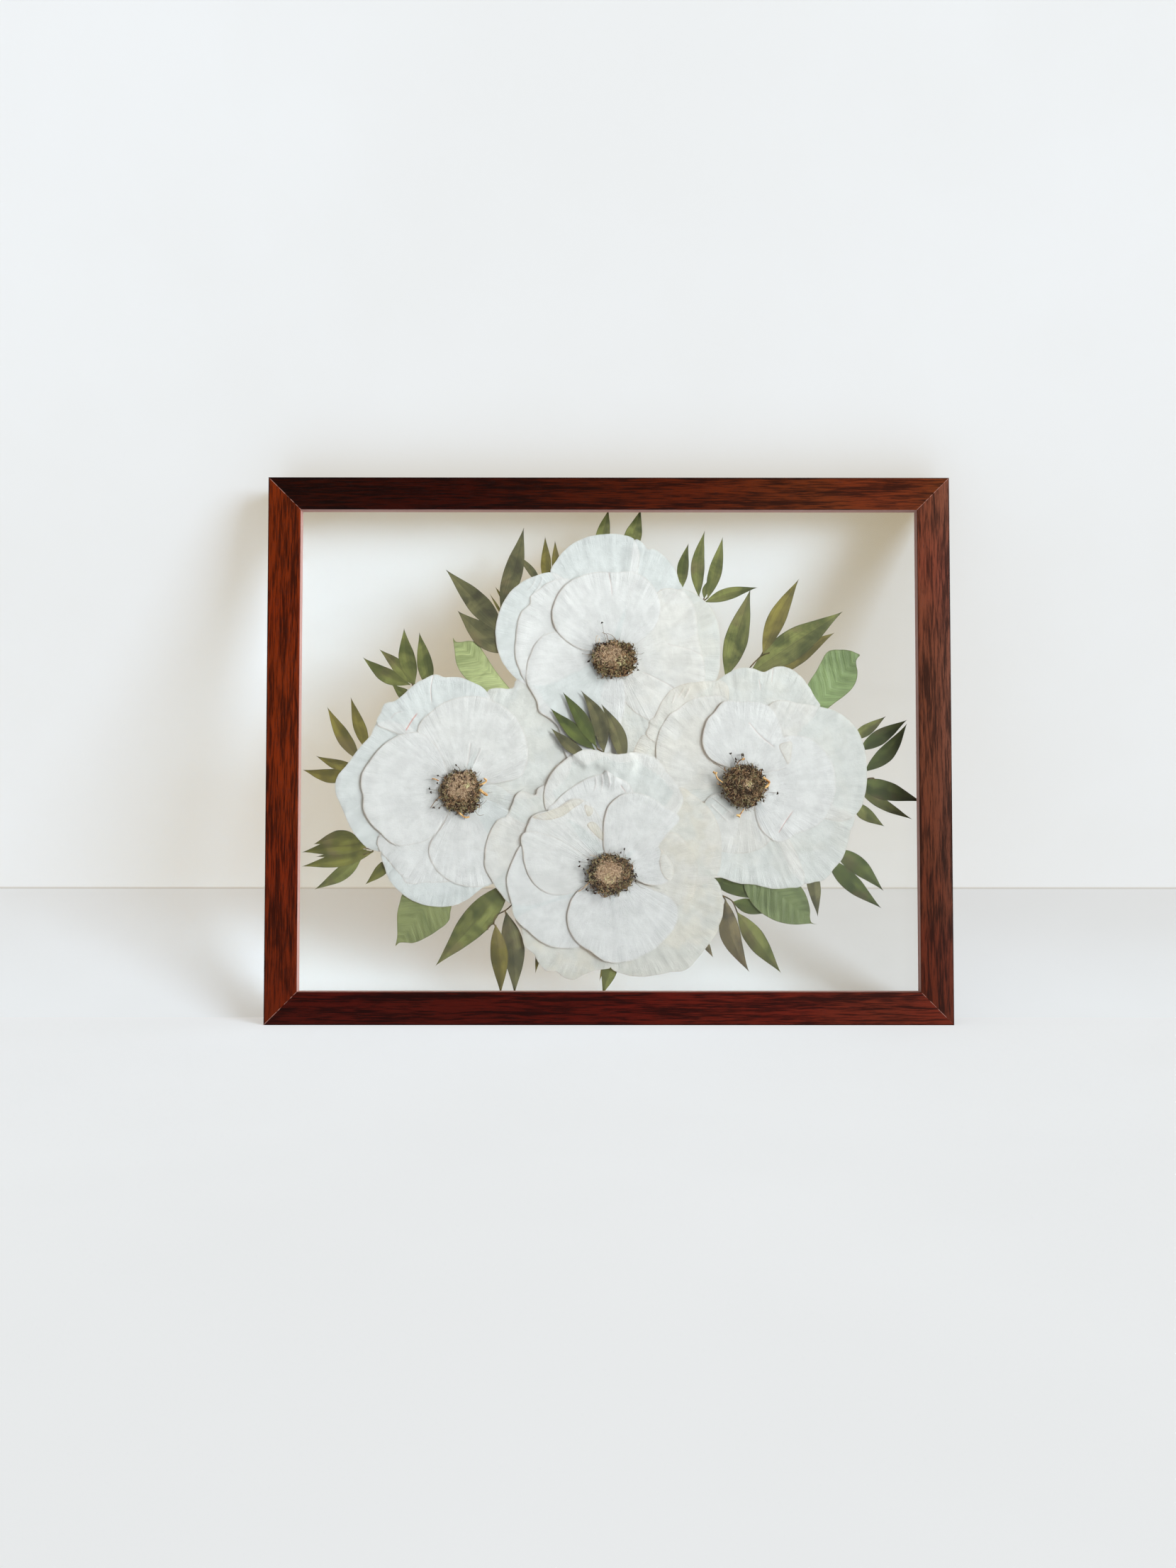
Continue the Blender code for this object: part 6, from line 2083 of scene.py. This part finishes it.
@dataclass
class BroadLeaves:
    """The four broad light-green leaves. A row has the CAD node, its midrib's two ends and its age."""

    thickness: float = 0.1
    pitch: float = 1.0
    rim_step: float = 0.7
    lift: float = 0.03
    vein_slant: float = 0.9
    vein_turns: float = 1.15
    vein_height: float = 0.06
    buckle: float = 0.08
    midrib_depth: float = 0.1
    midrib_width: float = 0.5
    rows: tuple[tuple[str, Point, Point, float], ...] = (
        ("leaf_broad_upper_left", (-50.0, 29.0), (-88.0, 63.7), 0.0),
        ("leaf_broad_lower_left", (-92.0, -72.0), (-119.5, -110.0), 0.75),
        ("leaf_broad_lower_right", (80.0, -68.0), (117.0, -97.8), 1.0),
        ("leaf_broad_right", (114.0, 21.0), (142.0, 54.0), 0.5))

    def build(self) -> None:
        """Build, dress and hand over the four leaves."""
        finish = BroadLeafSkin().build()
        for number, (node, base, tip, age) in enumerate(self.rows):
            outline, level = face_outline(node)
            moved = Outline(np.array([seen_at(x, z, level) for x, z in outline.points]))
            leaf = self.leaf("pressed_" + node, moved.rounded(self.rim_step), level + self.lift, base, tip,
                             number)
            write_values(leaf, "leaf_age", [age] * len(leaf.data.vertices))
            leaf.data.materials.append(finish)
            hand_over(leaf, "broad_leaf", node)

    def leaf(self, name: str, outline: Outline, depth: float, base: Point, tip: Point, seed: float
             ) -> Object:
        """Model one broad leaf with its midrib and slanting side veins.

        Args:
            name: The piece's name.
            outline: Its outline.
            depth: The depth of its front side.
            base: Where its midrib starts.
            tip: Where its midrib ends.
            seed: A number that makes its wrinkles its own.

        Returns:
            The leaf.
        """
        places, faces = outline.filled(self.pitch)
        edge = outline.distance(places)
        edge[:len(outline.points)] = 0.0
        axis = np.array(tip) - np.array(base)
        axis /= np.linalg.norm(axis)
        away = places - np.array(base)
        along = away @ axis
        across = away @ np.array([-axis[1], axis[0]])
        points = []
        for (x, z), s, t in zip(places, along, across):
            slant = (s - abs(t) * self.vein_slant) * self.vein_turns
            raised = self.vein_height * sin(slant + 1.5 * wander(x, z, 8.0, seed))
            raised += self.buckle * wander(x, z, 11.0, 2.0)
            raised -= self.midrib_depth * exp(-abs(t) / self.midrib_width)
            points.append(spot(x, z, depth - raised))
        piece = mesh_piece(name, points, faces)
        thicken(piece, self.thickness)
        both = len(piece.data.vertices) // len(places)
        write_values(piece, "leaf_edge", np.tile(edge, both))
        write_uv(piece, np.tile(np.column_stack([along, across]) * MM, (both, 1)))
        smooth(piece)
        return piece


# --- the studio ------------------------------------------------------------------------------------


@dataclass
class Studio:
    """The plain pale floor and wall, the soft light and the camera."""

    floor_size: float = 8.0
    lean: float = 28.0
    gap: float = 0.002
    wall_length: float = 3.0
    camera_place: Triple = EYE
    camera_pitch: float = 1.884
    camera_roll: float = -0.028
    camera_yaw: float = -0.085
    lens: float = 27.03
    key_from: Triple = (0.72, -0.69, 0.10)
    key_strength: float = 3.4
    key_softness: float = 26.0
    sky: float = 0.50
    dim: float = 0.14
    glow: float = 0.40
    table: Colour = (0.545, 0.645, 0.770)
    near: Colour = (1.12, 1.06, 0.98)
    # The rise glows with foot_shine at the frame's foot and with the dimmer, warmer far towards the wall:
    # painted shade behind the frame.
    foot_shine: Colour = (0.875, 0.79, 0.67)
    far: Colour = (0.70, 0.57, 0.405)

    def build(self) -> None:
        """Build the stage, the lights and the camera."""
        self.stage()
        self.lights()
        self.camera()

    def stage(self) -> None:
        """Lay the floor, and behind the frame the table and wall as they lie to the leaning frame."""
        lean = radians(self.lean)
        half, foot, tall = self.floor_size / 2, FRAME_DEPTH / 2 * MM + self.gap, 2 * HALF_HEIGHT * MM
        corner = (foot + tall * sin(lean) * cos(lean), tall * sin(lean) ** 2)
        end = (corner[0] - self.wall_length * sin(lean), corner[1] + self.wall_length * cos(lean))
        table = (0.0, -sin(lean), cos(lean))
        floor = Paint("floor_paint", self.glow, facing=table, pale=self.table, shine=self.near,
                      far_shine=self.near)
        rise = Paint("rise_paint", self.glow, True, table, corner[1], self.table, self.foot_shine, self.far)
        wall = Paint("wall_paint", self.glow, True, corner_height=corner[1])
        rows = (("studio_floor", (-half, 0.0), (half, 0.0), floor),
                ("studio_rise", (foot, 0.0), corner, rise), ("studio_wall", corner, end, wall))
        for name, near, away, paint in rows:
            corners = ((-half, *near), (half, *near), (half, *away), (-half, *away))
            sheet = mesh_piece(name, [Vector(place) for place in corners], [(0, 1, 2, 3)])
            sheet.data.materials.append(paint.build())

    def lights(self) -> None:
        """Hang a large soft key light to the right and fill the room with pale light."""
        sun = bpy.data.lights.new("soft_key", "SUN")
        sun.energy = self.key_strength
        sun.angle = radians(self.key_softness)
        sun.color = (0.94, 0.975, 1.0)
        key = bpy.data.objects.new("soft_key", sun)
        key.rotation_euler = Vector(self.key_from).to_track_quat("Z", "Y").to_euler()
        bpy.context.scene.collection.objects.link(key)
        world = bpy.data.worlds.new("pale_room")
        world.use_nodes = True
        room = world.node_tree.nodes["Background"]
        room.inputs["Color"].default_value = (1.0, 0.89, 0.75, 1.0)
        bench = Bench(world.node_tree)
        _, heading, rise = bench.axes(bench.place("Generated"))
        ahead = bench.span(heading, -0.97, -0.72, self.dim, self.sky)
        near_level = bench.span(rise, 0.0, 0.25, 0.85, 0.0)
        bench.feed(room.inputs["Strength"], bench.reckon("MAXIMUM", ahead, near_level))
        bpy.context.scene.world = world
        bpy.context.scene.view_settings.view_transform = "Standard"

    def camera(self) -> None:
        """Stand the camera where the photograph was taken."""
        data = bpy.data.cameras.new("photograph_view")
        data.lens = self.lens
        data.sensor_width = 36.0
        data.sensor_fit = "AUTO"
        data.clip_start = 0.01
        view = bpy.data.objects.new("photograph_view", data)
        view.location = self.camera_place
        view.rotation_euler = (radians(90 + self.camera_pitch), radians(self.camera_roll),
                               radians(self.camera_yaw))
        bpy.context.scene.collection.objects.link(view)
        bpy.context.scene.camera = view


def main() -> None:
    """Build the frame, the glass, the flowers, the foliage and the studio."""
    logging.basicConfig(level=logging.INFO, format="%(message)s")
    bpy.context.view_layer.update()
    Studio().build()
    MitredRails().build()
    GlassPanes().build()
    centres = FlowerHearts().build()
    PressedPetals().build(centres)
    SlenderTwigs(TWIGS).build()
    BroadLeaves().build()


if __name__ == "__main__":
    main()
